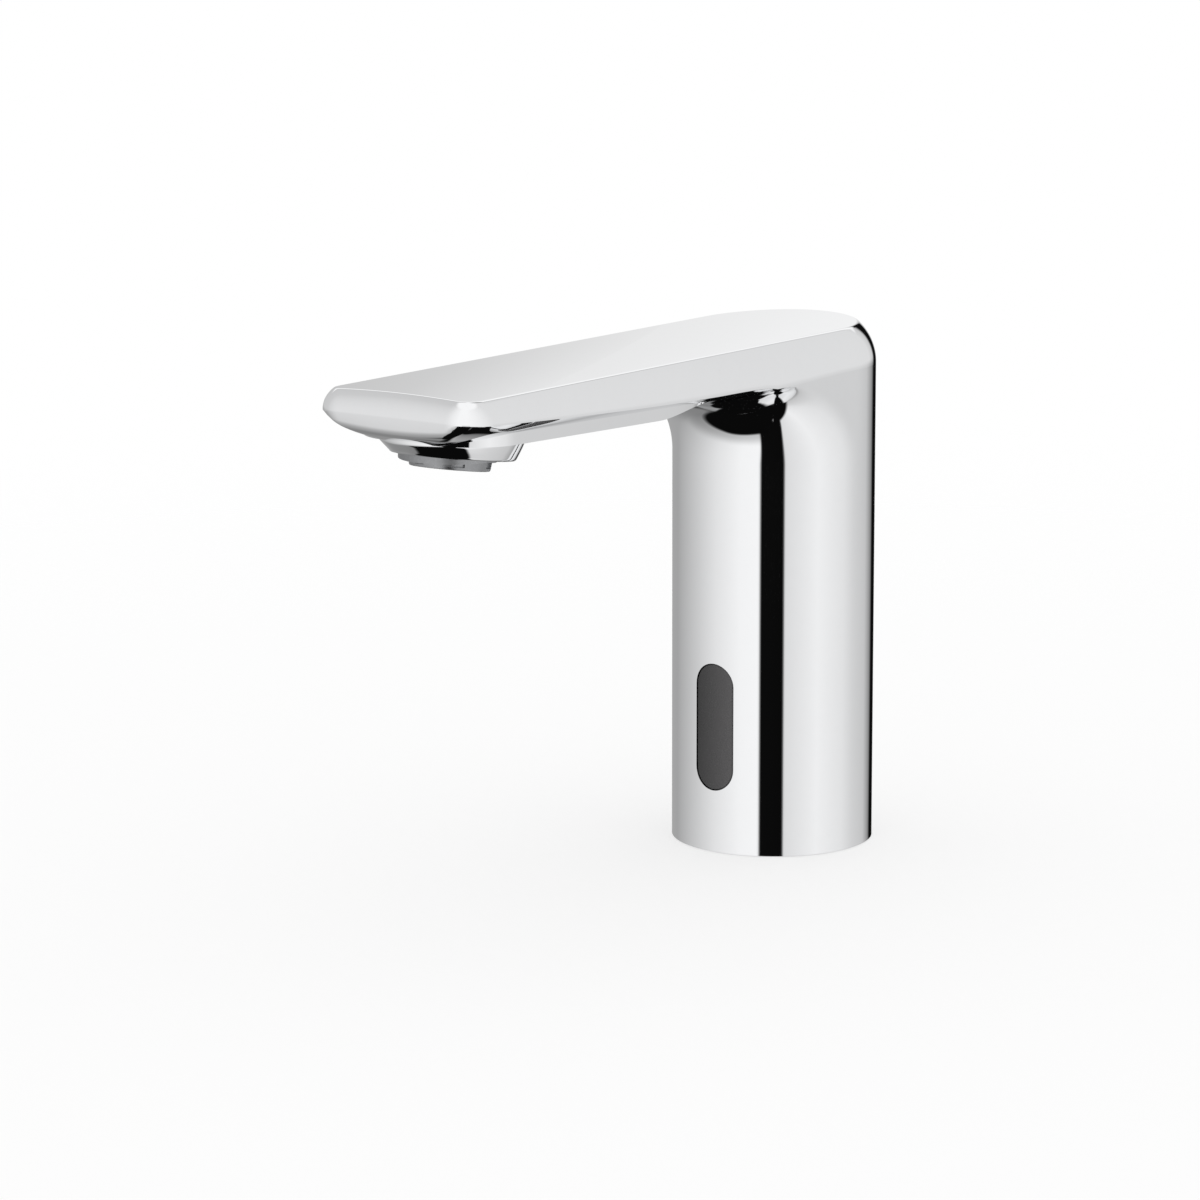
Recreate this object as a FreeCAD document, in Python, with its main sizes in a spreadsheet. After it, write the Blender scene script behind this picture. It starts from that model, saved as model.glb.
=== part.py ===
import FreeCAD, Part
import math
import os
import re

import Sketcher
from FreeCAD import Placement, Rotation, Vector

# Sensor tap: a round column with a sensor window on its front and a slab spout.
# Millimetres. Origin at the centre of the base, +Z up, the spout points along -Y,
# and the outside is symmetric about the YZ plane.

DOC = FreeCAD.newDocument("SensorTap")

SIZES = (
    # column
    ("column_radius", 25.0),
    ("column_wall", 3.5),
    ("bore_top_z", 117.0),
    # spout, top face and side facets
    ("top_edge_z", 128.6),
    ("top_tilt", 0.52),
    ("top_half_width", 20.5),
    ("top_reach", 143.3),
    ("top_corner", 3.0),
    ("crown_rise", 0.65),
    ("facet_root_z", 118.9),
    ("facet_tip_half_width", 23.4),
    ("tip_draft", 2.9),
    # spout underside
    ("under_start", 26.0),
    ("under_tilt", 1.24),
    ("lip_inset", 0.5),
    ("hull_drop", 2.1),
    ("belly_half_width", 20.4),
    ("belly_drop", 2.9),
    ("belly_draw", 0.5),
    ("belly_setback", 2.8),
    ("belly_corner", 13.0),
    ("root_fillet", 17.0),
    # spout waterway
    ("spout_floor", 2.4),
    ("cavity_height", 6.4),
    ("cavity_half_width", 16.0),
    ("cavity_corner", 12.0),
    ("cavity_end_wall", 3.2),
    # outlet boss
    ("outlet_setback", 18.8),
    ("boss_radius", 15.1),
    ("boss_rim_radius", 13.2),
    ("boss_rim_round", 0.4),
    ("boss_rim_z", 111.2),
    ("boss_depth", 3.4),
    ("boss_bow_radius", 4.42),
    ("boss_root", 1.5),
    ("outlet_bore_radius", 12.35),
    # swivelling outlet
    ("ball_radius", 11.7),
    ("ball_above_rim", 5.6),
    ("ball_gap", 0.05),
    ("ball_top_drop", 3.3),
    ("outlet_face_drop", 7.7),
    ("outlet_face_chamfer", 0.3),
    ("outlet_tilt", 10.0),
    ("jet_bore_radius", 7.6),
    ("key_notch_width", 2.0),
    ("key_notch_depth", 1.2),
    ("screen_thickness", 1.4),
    ("screen_inset", 0.4),
    ("screen_rim", 1.1),
    ("screen_bar", 0.45),
    ("screen_bar_inset", 0.2),
    ("screen_grid_inset", 0.3),
    ("screen_pitch", 3.0),
    ("regulator_thickness", 1.6),
    ("regulator_hole_radius", 0.9),
    ("regulator_hole_pitch", 4.6),
    # outlet housing and elbow
    ("housing_inset", 0.2),
    ("housing_web", 2.0),
    ("spigot_radius", 6.0),
    ("spigot_depth", 1.8),
    ("elbow_radius", 8.8),
    ("elbow_height", 5.9),
    ("elbow_drop_radius", 3.2),
    # window and sensor
    ("window_width", 10.95),
    ("window_height", 31.6),
    ("window_mid_z", 31.3),
    ("window_recess", 0.15),
    ("window_gap", 0.1),
    ("window_flange", 1.2),
    ("window_depth", 6.6),
    ("gasket_thickness", 0.45),
    ("holder_inset", 6.8),
    ("holder_depth", 5.6),
    ("holder_half_width", 7.6),
    ("holder_over", 2.9),
    ("holder_wall", 1.4),
    ("holder_foot", 4.0),
    ("foot_cover", 0.9),
    ("board_clear", 1.0),
    ("board_thickness", 1.0),
    ("board_half_width", 6.0),
    ("board_low_z", 14.0),
    ("board_margin", 1.0),
    ("board_screw_bite", 1.8),
    ("post_sink", 0.5),
    ("board_screw_inset", 2.7),
    ("board_screw_radius", 0.75),
    ("chip_half_width", 3.0),
    ("chip_height", 6.0),
    ("chip_thickness", 0.8),
    ("diode_radius", 2.5),
    ("diode_pitch", 15.0),
    # base
    ("base_recess", 1.0),
    ("plate_thickness", 8.0),
    ("plate_gap", 0.15),
    ("lug_radius", 3.9),
    ("lug_inset", 7.0),
    ("lug_height", 11.0),
    ("lug_gap", 0.1),
    ("lug_screw_radius", 1.5),
    ("lug_screw_reach", 7.5),
    ("screw_head_radius", 2.7),
    ("screw_head_height", 2.2),
    ("stud_radius", 3.0),
    ("stud_depth", 6.5),
    ("stud_side", 12.6),
    ("stud_forward", 8.6),
    ("inlet_radius", 5.0),
    ("inlet_depth", 11.0),
    ("deck_seal_inset", 3.7),
    ("deck_seal_width", 2.7),
    # inlet and check valve
    ("valve_forward", 1.0),
    ("boss_outer", 8.5),
    ("boss_height", 9.0),
    ("inlet_seal_drop", 2.4),
    ("strainer_web", 1.2),
    ("strainer_hole", 3.8),
    ("strainer_height", 2.7),
    ("strainer_floor", 0.6),
    ("strainer_eye", 0.8),
    ("strainer_eye_pitch", 2.4),
    ("cage_radius", 6.15),
    ("cage_height", 10.0),
    ("cage_wall", 1.15),
    ("cage_floor", 1.6),
    ("cage_mouth", 3.0),
    ("cage_port", 1.2),
    ("cage_port_pitch", 3.1),
    ("poppet_radius", 4.2),
    ("poppet_thickness", 1.2),
    ("stem_short", 0.6),
    ("valve_spring_clear", 0.9),
    ("stem_radius", 1.0),
    ("stem_gap", 0.05),
    # main valve
    ("valve_radius", 11.0),
    ("valve_skirt", 4.6),
    ("valve_headroom", 1.0),
    ("chamber_radius", 9.5),
    ("chamber_depth", 5.5),
    ("seat_radius", 4.2),
    ("seat_bore", 2.6),
    ("seat_rise", 1.5),
    ("riser_radius", 1.3),
    ("riser_side", 6.9),
    ("duct_radius", 1.6),
    ("duct_roof", 0.6),
    ("flange_thickness", 5.0),
    ("valve_web", 5.5),
    ("turret_inset", 9.5),
    ("turret_radius", 4.4),
    ("turret_neck", 3.0),
    ("nipple_bore", 1.3),
    ("piston_gap", 0.06),
    ("piston_lift", 0.6),
    ("piston_thickness", 2.6),
    ("piston_spring_inset", 4.5),
    ("bleed_radius", 0.4),
    ("bleed_side", 7.0),
    ("seal_disc_radius", 4.85),
    ("seal_disc_thickness", 1.6),
    ("bonnet_height", 7.0),
    ("bonnet_roof", 2.4),
    ("bonnet_screw_side", 8.9),
    ("bonnet_screw_radius", 1.25),
    ("bonnet_screw_reach", 4.2),
    ("screw_end_gap", 0.3),
    ("bonnet_head_radius", 2.1),
    ("bonnet_head_height", 1.2),
    ("pilot_radius", 1.2),
    ("pilot_height", 0.6),
    # solenoid
    ("plunger_radius", 3.22),
    ("plunger_gap", 0.08),
    ("plunger_length", 11.4),
    ("plunger_travel", 1.0),
    ("plunger_pocket_radius", 1.7),
    ("plunger_pocket_depth", 4.0),
    ("plunger_spring_inset", 0.5),
    ("guide_wall", 0.7),
    ("guide_lip", 0.2),
    ("guide_clear", 0.15),
    ("guide_flange_radius", 5.2),
    ("guide_flange", 1.0),
    ("yoke_plate", 1.2),
    ("yoke_half_width", 11.2),
    ("yoke_half_depth", 6.6),
    ("coil_radius", 8.9),
    ("coil_height", 14.0),
    ("bobbin_hub_wall", 0.9),
    ("bobbin_flange_radius", 9.3),
    ("bobbin_flange", 1.0),
    ("nut_height", 1.6),
    ("nut_radius", 6.0),
    # battery
    ("battery_side_room", 8.0),
    ("battery_height", 45.0),
    ("battery_gap", 0.1),
    ("battery_wall", 1.1),
    ("battery_floor", 1.6),
    ("battery_wall_height", 22.0),
    ("battery_disc_gap", 0.3),
    ("battery_leg_radius", 2.2),
    ("battery_leg_inset", 8.4),
    ("terminal_radius", 4.0),
    ("terminal_pitch", 16.0),
    ("terminal_rise", 1.2),
    ("terminal_sink", 0.5),
    # tube and leads
    ("tube_radius", 2.8),
    ("tube_bore", 2.0),
    ("tube_bend", 12.0),
    ("tube_clear", 0.4),
    ("tube_foot_gap", 0.1),
    ("tube_end_gap", 0.3),
    ("nipple_length", 6.0),
    ("lead_radius", 0.7),
    ("lead_bend", 3.0),
    ("lead_side", 3.2),
    ("battery_lead_rise", 8.0),
    # springs, seals and close fits
    ("spring_wire", 0.5),
    ("fine_wire", 0.3),
    ("seal_radius", 0.38),
    ("seal_gap", 0.01),
    ("groove_depth", 0.8),
    ("groove_width", 1.0),
    ("fit_gap", 0.05),
)

# sizes that follow the spout, the column, the window and the holder
DERIVED = (
    ("outlet_reach", "top_reach - outlet_setback"),
    ("belly_reach", "top_reach - belly_setback"),
    ("window_back_y", "column_radius - window_depth"),
    ("holder_front_y", "column_radius - holder_inset"),
    ("holder_back_y", "holder_front_y - holder_depth"),
    ("board_back_y", "holder_back_y + board_clear"),
    ("holder_top_z", "window_mid_z + window_height / 2 + holder_over"),
    ("board_top_z", "holder_top_z - board_margin"),
    ("lug_pitch_radius", "column_radius - lug_inset"),
    ("deck_seal_outer", "column_radius - deck_seal_inset"),
    ("deck_seal_inner", "deck_seal_outer - deck_seal_width"),
    ("turret_back", "column_radius - turret_inset"),
    ("battery_width", "2 * (column_radius - battery_side_room)"),
    ("battery_depth", "column_radius - battery_side_room"),
    ("battery_disc_radius", "column_radius - column_wall - battery_disc_gap"),
    ("battery_leg_side", "column_radius - battery_leg_inset"),
)

FORMULAS = tuple((alias, f"={formula}") for alias, formula in DERIVED)

SHEET = DOC.addObject("Spreadsheet::Sheet", "Sizes")
for row, (alias, number) in enumerate(SIZES + FORMULAS, start=1):
    SHEET.set(f"A{row}", alias)
    SHEET.set(f"B{row}", str(number))
    SHEET.setAlias(f"B{row}", alias)
DOC.recompute()

ALIASES = {alias for alias, _ in SIZES + DERIVED}


def bound(text):
    """Turn the size names in an expression into references to the size sheet."""
    return re.sub(r"[a-z_]+", lambda m: f"Sizes.{m[0]}" if m[0] in ALIASES else m[0], text)


def value(text):
    """The number that a size expression stands for now."""
    return float(SHEET.evalExpression(bound(text)))


# ---------------------------------------------------------------- helpers


PARTS = []


def part(obj, name):
    """Keep a finished sub-part under its own label."""
    obj.Label = name
    PARTS.append(obj)
    return obj


def place(obj, x="0", y="0", z="0", turn=None, angle=None):
    """Bind an object's place to the sheet, turned first if asked, by a bound angle if one is given."""
    if turn is not None:
        obj.Placement = Placement(Vector(), turn)
    if angle is not None:
        obj.setExpression("Placement.Rotation.Angle", bound(angle))
    for axis, text in zip("xyz", (x, y, z)):
        obj.setExpression(f"Placement.Base.{axis}", bound(text))
    return obj


TO_Y = Rotation(Vector(1, 0, 0), -90)


def rod(name, radius, length, x="0", y="0", z="0", turn=None, angle=None):
    """A round bar from its place along +Z, or along the turned axis."""
    obj = DOC.addObject("Part::Cylinder", name)
    obj.setExpression("Radius", bound(radius))
    obj.setExpression("Height", bound(length))
    return place(obj, x, y, z, turn, angle)


def elbow_bend(name, sweep, radius, bend, turn, x, y, z):
    """Part of a ring: a bar bent through an angle, from its own +X towards its own +Y."""
    obj = DOC.addObject("Part::Torus", name)
    obj.setExpression("Radius1", bound(bend))
    obj.setExpression("Radius2", bound(radius))
    obj.setExpression("Angle3", bound(sweep))
    return place(obj, x, y, z, turn)


def hexagon(name, radius, height, x="0", y="0", z="0"):
    """A six-sided bar, sized across its corners."""
    obj = DOC.addObject("Part::Prism", name)
    obj.Polygon = 6
    obj.setExpression("Circumradius", bound(radius))
    obj.setExpression("Height", bound(height))
    return place(obj, x, y, z)


def block(name, low, high):
    """A box between two corners, each given as three expressions."""
    obj = DOC.addObject("Part::Box", name)
    for side, first, last in zip(("Length", "Width", "Height"), low, high):
        obj.setExpression(side, bound(f"({last}) - ({first})"))
    return place(obj, *low)


def ring(name, major, minor, x="0", y="0", z="0"):
    """An O-ring lying flat."""
    obj = DOC.addObject("Part::Torus", name)
    obj.setExpression("Radius1", bound(major))
    obj.setExpression("Radius2", bound(minor))
    return place(obj, x, y, z)


def cut(name, base, *tools):
    """base without the tools."""
    obj = DOC.addObject("Part::Cut", name)
    obj.Base = base
    obj.Tool = tools[0] if len(tools) == 1 else join(f"{name}_tools", *tools)
    return obj


def join(name, *shapes):
    """All the shapes as one."""
    obj = DOC.addObject("Part::MultiFuse", name)
    obj.Shapes = list(shapes)
    return obj


def common(name, *shapes):
    """Only what the shapes share."""
    obj = DOC.addObject("Part::MultiCommon", name)
    obj.Shapes = list(shapes)
    return obj


def group(name, *shapes):
    """Separate solids kept together under one name."""
    obj = DOC.addObject("Part::Compound", name)
    obj.Links = list(shapes)
    return obj


def new_body(name):
    """An empty body that will hold sketched features."""
    return DOC.addObject("PartDesign::Body", name)


def origin_plane(body, role):
    """One of a body's own origin planes."""
    return next(item for item in body.Origin.OriginFeatures if item.Role == role)


def new_sketch(body, name, role="XY_Plane", lift="0", tilt="0"):
    """A sketch on an origin plane, lifted along its normal and tilted about its X axis."""
    sketch = body.newObject("Sketcher::SketchObject", name)
    sketch.AttachmentSupport = (origin_plane(body, role), [""])
    sketch.MapMode = "FlatFace"
    sketch.AttachmentOffset = Placement(Vector(0, 0, 0), Rotation(Vector(1, 0, 0), value(tilt) or 1e-9))
    sketch.setExpression("AttachmentOffset.Base.z", bound(lift))
    if tilt != "0":
        sketch.setExpression("AttachmentOffset.Rotation.Angle", bound(tilt))
    return sketch


def pin_point(sketch, geometry, end, u, v):
    """Hold one end of a sketch line at two bound coordinates."""
    for kind, text in (("DistanceX", u), ("DistanceY", v)):
        index = sketch.addConstraint(Sketcher.Constraint(kind, -1, 1, geometry, end, value(text)))
        sketch.setExpression(f"Constraints[{index}]", bound(text))


def polygon(sketch, corners):
    """A closed outline through bound corners; a third entry makes the side after it an arc.

    The arc entry is a bound radius, and a fourth entry tells on which side its centre lies
    (+1 left of the way round, -1 right).
    """
    points = [Vector(value(c[0]), value(c[1]), 0) for c in corners]
    count = len(corners)
    first = sketch.GeometryCount
    for i, corner in enumerate(corners):
        a = points[i]
        b = points[(i + 1) % count]
        if len(corner) == 2:
            sketch.addGeometry(Part.LineSegment(a, b))
            continue
        radius = value(corner[2])
        chord = b - a
        half = chord.Length / 2
        offset = math.sqrt(max(radius**2 - half**2, 0.0)) * corner[3]
        left = Vector(-chord.y, chord.x, 0).normalize()
        centre = (a + b) * 0.5 + left * offset
        start = math.atan2(a.y - centre.y, a.x - centre.x)
        end = math.atan2(b.y - centre.y, b.x - centre.x)
        circle = Part.Circle(centre, Vector(0, 0, 1), radius)
        if corner[3] > 0:
            sketch.addGeometry(Part.ArcOfCircle(circle, start, end))
        else:
            sketch.addGeometry(Part.ArcOfCircle(circle, end, start))

    def ends(i):
        """Which sketch ends are the start and the finish of side i."""
        return (2, 1) if len(corners[i]) > 2 and corners[i][3] < 0 else (1, 2)

    for i in range(count):
        after = (i + 1) % count
        sketch.addConstraint(
            Sketcher.Constraint("Coincident", first + i, ends(i)[1], first + after, ends(after)[0])
        )
    for i, corner in enumerate(corners):
        pin_point(sketch, first + i, ends(i)[0], corner[0], corner[1])
        if len(corner) > 2:
            index = sketch.addConstraint(Sketcher.Constraint("Radius", first + i, value(corner[2])))
            sketch.setExpression(f"Constraints[{index}]", bound(corner[2]))
    return sketch


def disc(sketch, radius, u="0", v="0"):
    """A bound circle in a sketch."""
    index = sketch.addGeometry(Part.Circle(Vector(value(u), value(v), 0), Vector(0, 0, 1), value(radius)))
    pin_point(sketch, index, 3, u, v)
    held = sketch.addConstraint(Sketcher.Constraint("Radius", index, value(radius)))
    sketch.setExpression(f"Constraints[{held}]", bound(radius))
    return sketch


def spout_outline(sketch, root, tip, reach, corner):
    """Plan outline of the spout: round back about the column's axis, straight sides, round front corners."""
    wide, narrow, far, small = (value(text) for text in (root, tip, reach, corner))
    front = -far
    side_end = front + small
    add = sketch.addGeometry
    lean = math.asin((wide - narrow) / (far - small))
    back_right = Vector(wide * math.cos(lean), -wide * math.sin(lean), 0)
    back_left = Vector(-back_right.x, back_right.y, 0)
    right_centre = Vector(narrow - small, side_end, 0)
    left_centre = Vector(-right_centre.x, side_end, 0)
    out = Vector(math.cos(lean), -math.sin(lean), 0) * small
    back = Part.Circle(Vector(), Vector(0, 0, 1), wide)
    right = Part.Circle(right_centre, Vector(0, 0, 1), small)
    left = Part.Circle(left_centre, Vector(0, 0, 1), small)
    add(Part.ArcOfCircle(back, -lean, math.pi + lean))
    add(Part.LineSegment(back_left, left_centre + Vector(-out.x, out.y, 0)))
    add(Part.ArcOfCircle(left, math.pi + lean, 1.5 * math.pi))
    add(Part.LineSegment(Vector(left_centre.x, front, 0), Vector(right_centre.x, front, 0)))
    add(Part.ArcOfCircle(right, -0.5 * math.pi, -lean))
    add(Part.LineSegment(right_centre + out, back_right))
    link = sketch.addConstraint
    for first, second in ((0, 1), (1, 2), (2, 3), (3, 4), (4, 5), (5, 0)):
        link(Sketcher.Constraint("Tangent", first, 2, second, 1))
    link(Sketcher.Constraint("Coincident", 0, 3, -1, 1))
    for geometry, text in ((0, root), (2, corner), (4, corner)):
        index = link(Sketcher.Constraint("Radius", geometry, value(text)))
        sketch.setExpression(f"Constraints[{index}]", bound(text))
    inner = f"({tip}) - ({corner})"
    for kind, geometry, end, text in (
        ("DistanceX", 4, 3, inner),
        ("DistanceX", 2, 3, f"0 - ({inner})"),
        ("DistanceY", 4, 3, f"({corner}) - ({reach})"),
        ("DistanceY", 2, 3, f"({corner}) - ({reach})"),
    ):
        index = link(Sketcher.Constraint(kind, -1, 1, geometry, end, value(text)))
        sketch.setExpression(f"Constraints[{index}]", bound(text))
    return sketch


def slot_outline(sketch, width, height, mid):
    """An upright slot with round ends, centred on the sketch's vertical axis."""
    half = f"({width}) / 2"
    arm = f"(({height}) - ({width})) / 2"
    r, high, low = value(half), value(f"{mid} + {arm}"), value(f"{mid} - {arm}")
    first = sketch.GeometryCount
    sketch.addGeometry(Part.LineSegment(Vector(r, low, 0), Vector(r, high, 0)))
    sketch.addGeometry(Part.ArcOfCircle(Part.Circle(Vector(0, high, 0), Vector(0, 0, 1), r), 0, math.pi))
    sketch.addGeometry(Part.LineSegment(Vector(-r, high, 0), Vector(-r, low, 0)))
    sketch.addGeometry(
        Part.ArcOfCircle(Part.Circle(Vector(0, low, 0), Vector(0, 0, 1), r), math.pi, 2 * math.pi)
    )
    for step in range(4):
        after = first + (step + 1) % 4
        sketch.addConstraint(Sketcher.Constraint("Tangent", first + step, 2, after, 1))
    pin_point(sketch, first + 1, 3, "0", f"{mid} + {arm}")
    pin_point(sketch, first + 3, 3, "0", f"{mid} - {arm}")
    index = sketch.addConstraint(Sketcher.Constraint("Radius", first + 1, r))
    sketch.setExpression(f"Constraints[{index}]", bound(half))
    return sketch


def pad(body, sketch, length, name, backwards=False):
    """Grow a sketch into the body."""
    feature = body.newObject("PartDesign::Pad", name)
    feature.Profile = sketch
    feature.setExpression("Length", bound(length))
    feature.Reversed = backwards
    feature.Refine = False
    body.Tip = feature
    return feature


def pocket(body, sketch, length, name, backwards=False):
    """Cut a sketch out of the body."""
    feature = body.newObject("PartDesign::Pocket", name)
    feature.Profile = sketch
    feature.setExpression("Length", bound(length))
    feature.Reversed = backwards
    feature.Refine = False
    body.Tip = feature
    return feature


def turned(name, corners, x="0", y="0", z="0"):
    """A round piece turned from its half section, given as radius and height."""
    body = new_body(name)
    sketch = new_sketch(body, f"{name}_section", "XZ_Plane")
    polygon(sketch, corners)
    feature = body.newObject("PartDesign::Revolution", f"{name}_turning")
    feature.Profile = sketch
    feature.ReferenceAxis = (sketch, ["V_Axis"])
    feature.Angle = 360
    feature.Refine = False
    body.Tip = feature
    return place(body, x, y, z)


def loft(body, sketches, name, ruled=False):
    """Grow a body through a row of sketches."""
    feature = body.newObject("PartDesign::AdditiveLoft", name)
    feature.Profile = sketches[0]
    feature.Sections = list(sketches[1:])
    feature.Ruled = ruled
    feature.Refine = False
    body.Tip = feature
    return feature


def groove(name, wall, y, z):
    """The tool that cuts an O-ring's groove round a bar, centred on a height."""
    around = rod(f"{name}_around", f"({wall}) + 1", "groove_width", y=y, z=f"({z}) - groove_width / 2")
    inside = rod(
        f"{name}_inside", f"({wall}) - groove_depth", "groove_width", y=y, z=f"({z}) - groove_width / 2"
    )
    return cut(name, around, inside)


def o_ring(name, wall, y, z):
    """An O-ring that lies just inside a bore's wall."""
    return ring(name, f"({wall}) - seal_radius - seal_gap", "seal_radius", y=y, z=z)


def screw(name, radius, low, high, head_radius, head_low, head_high, x="0", y="0"):
    """An upright screw: its shank between two heights and its head between two more."""
    shank = rod(f"{name}_shank", radius, f"({high}) - ({low})", x=x, y=y, z=low)
    head = rod(f"{name}_head", head_radius, f"({head_high}) - ({head_low})", x=x, y=y, z=head_low)
    return join(name, shank, head)


def coil_spring(name, mean, z_low, z_high, turns, x, y, wire):
    """A wound spring standing between two heights."""
    low = value(z_low)
    high = value(z_high)
    thick = value(wire)
    pitch = (high - low - thick) / turns
    helix = Part.makeHelix(pitch, high - low - thick, value(mean))
    start = Vector(value(mean), 0, 0)
    profile = Part.Wire(Part.makeCircle(thick / 2, start, Vector(0, 1, 0)))
    pipe = Part.BRepOffsetAPI.MakePipeShell(Part.Wire(helix.Edges))
    pipe.setFrenetMode(True)
    pipe.add(profile)
    pipe.build()
    pipe.makeSolid()
    obj = DOC.addObject("Part::Feature", name)
    obj.Shape = pipe.shape()
    obj.Placement = Placement(Vector(value(x), value(y), low + thick / 2), Rotation())
    return obj


# ---------------------------------------------------------------- heights along the stack

PLATE_TOP = "(base_recess + plate_thickness)"
BOSS_TOP = "(base_recess + plate_thickness + boss_height)"
VALVE_LOW = f"({BOSS_TOP} - valve_skirt)"
INLET_SEAL_Z = f"({BOSS_TOP} - inlet_seal_drop)"
STRAINER_LOW = "(base_recess + inlet_depth + strainer_web)"
CAGE_LOW = f"({STRAINER_LOW} + strainer_height)"
CAGE_TOP = f"({CAGE_LOW} + cage_height)"
CAGE_CEILING = f"({CAGE_TOP} + valve_headroom)"
CHAMBER_LOW = f"({CAGE_TOP} + valve_web)"
DUCT_Z = f"({CHAMBER_LOW} - duct_roof - duct_radius)"
SEAT_Z = f"({CHAMBER_LOW} + seat_rise)"
VALVE_TOP = f"({CHAMBER_LOW} + chamber_depth)"
BONNET_TOP = f"({VALVE_TOP} + bonnet_height)"
ROOF_LOW = f"({BONNET_TOP} - bonnet_roof)"
PISTON_LOW = f"({SEAT_Z} + piston_lift)"
PISTON_TOP = f"({PISTON_LOW} + piston_thickness)"
PLUNGER_LOW = f"({BONNET_TOP} + pilot_height + fit_gap)"
PLUNGER_TOP = f"({PLUNGER_LOW} + plunger_length)"
CORE_LOW = f"({PLUNGER_TOP} + plunger_travel + fit_gap)"
YOKE_LOW = f"({BONNET_TOP} + guide_flange + fit_gap)"
COIL_LOW = f"({YOKE_LOW} + yoke_plate + fit_gap)"
COIL_TOP = f"({COIL_LOW} + coil_height)"
YOKE_TOP = f"({COIL_TOP} + fit_gap + yoke_plate)"
NUT_TOP = f"({YOKE_TOP} + fit_gap + nut_height)"
GUIDE_TOP = f"({NUT_TOP} + guide_lip)"
FLOOR_LOW = f"({GUIDE_TOP} + guide_clear)"
FLOOR_TOP = f"({FLOOR_LOW} + battery_floor)"
BATTERY_LOW = f"({FLOOR_TOP} + fit_gap)"
BATTERY_TOP = f"({BATTERY_LOW} + battery_height)"
LUG_TOP = f"({PLATE_TOP} + lug_gap + lug_height)"
BORE = "(column_radius - column_wall)"
OUTLET_Y = "(0 - outlet_reach)"
BALL_Z = "(boss_rim_z + ball_above_rim)"
UNDER_ROOT = "(facet_root_z - under_start * tan(under_tilt))"
UNDER_AT_OUTLET = f"({UNDER_ROOT} + outlet_reach * tan(under_tilt))"
CAVITY_DROP = "(hull_drop + belly_drop - spout_floor)"
CAVITY_FLOOR = f"({UNDER_AT_OUTLET} - {CAVITY_DROP})"
CAVITY_MID = f"({UNDER_ROOT} - {CAVITY_DROP} + cavity_height / (2 * cos(under_tilt)))"
HOUSING_TOP = f"({CAVITY_FLOOR} - housing_inset)"
HOLDER_Y = "(0 - (holder_front_y + holder_back_y) / 2)"
GUIDE_RADIUS = "(plunger_radius + plunger_gap + guide_wall)"


# ---------------------------------------------------------------- body casting

FACET_SINE = 0.768
FACET_STEPS = (0.0, 1 / 3, 2 / 3, 1.0, 1.2)


def facet_bulge(step):
    """How much of the facet's draft is left at a share of its height: an arc that starts upright."""
    whole = 1 - math.sqrt(1 - FACET_SINE**2)
    if step > 1:
        return -2.0 * (step - 1)
    return 1 - (1 - math.sqrt(1 - (step * FACET_SINE) ** 2)) / whole


def body_casting():
    """Chromed brass casting: column, spout and outlet boss, hollow for the works and the waterway."""
    body = new_body("body_casting")

    round_section = disc(new_sketch(body, "column_round"), "column_radius")
    pad(body, round_section, "facet_root_z", "column")

    facets = []
    for number, step in enumerate(FACET_STEPS):
        left = facet_bulge(step)
        lift = f"facet_root_z + {step:.4f} * (top_edge_z - facet_root_z)"
        tilt = f"{step:.4f} * top_tilt"
        sketch = new_sketch(body, f"facet_outline_{number}", lift=lift, tilt=tilt)
        root = f"top_half_width + {left:.4f} * (column_radius - top_half_width)"
        tip = f"top_half_width + {left:.4f} * (facet_tip_half_width - top_half_width)"
        reach = f"top_reach + {left:.4f} * tip_draft"
        corner = f"top_corner + {left:.4f} * tip_draft"
        facets.append(spout_outline(sketch, root, tip, reach, corner))
    loft(body, facets, "side_facets")
    underside_rise(body)
    root_flare(body)
    spout_underside(body)
    outlet_boss(body)
    crowned_top(body)
    waterway(body)
    lugs(body)
    window_opening(body)
    return part(body, "body_casting")


def underside_rise(body):
    """The facets' lower edge climbs towards the tip."""
    section = new_sketch(body, "underside_section", "YZ_Plane")
    far = "(top_reach + 20)"
    polygon(
        section,
        (
            ("0 - under_start", "facet_root_z"),
            (f"0 - {far}", f"facet_root_z + ({far} - under_start) * tan(under_tilt)"),
            (f"0 - {far}", "facet_root_z - 5"),
            ("0 - under_start", "facet_root_z - 5"),
        ),
    )
    pocket(body, section, "4 * column_radius", "underside_rise").Midplane = True


def root_flare(body):
    """The round fillet between the column and the spout's underside, kept as wide as the column."""
    root_z = f"{UNDER_ROOT} - hull_drop - belly_drop + (column_radius + root_fillet) * tan(under_tilt)"
    section = polygon(
        new_sketch(body, "root_flare_section", "XZ_Plane"),
        (
            ("column_radius - 5", f"{root_z} - root_fillet"),
            ("column_radius", f"{root_z} - root_fillet", "root_fillet", -1),
            ("column_radius + root_fillet", root_z),
            ("column_radius + root_fillet + 3", "facet_root_z"),
            ("column_radius - 5", "facet_root_z"),
        ),
    )
    turning = body.newObject("PartDesign::Revolution", "root_flare")
    turning.Profile = section
    turning.ReferenceAxis = (section, ["V_Axis"])
    turning.Angle = 360
    turning.Refine = False
    body.Tip = turning

    outer = "2 * (column_radius + root_fillet)"
    trim = new_sketch(body, "flare_trim_outline")
    spout_outline(trim, "column_radius", "column_radius", outer, "1")
    frame = (
        (f"{outer} + 5", f"0 - {outer} - 5"),
        (f"{outer} + 5", outer),
        (f"0 - {outer} - 5", outer),
        (f"0 - {outer} - 5", f"0 - {outer} - 5"),
    )
    polygon(trim, frame)
    pocket(body, trim, "facet_root_z", "flare_trim", backwards=True)


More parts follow.
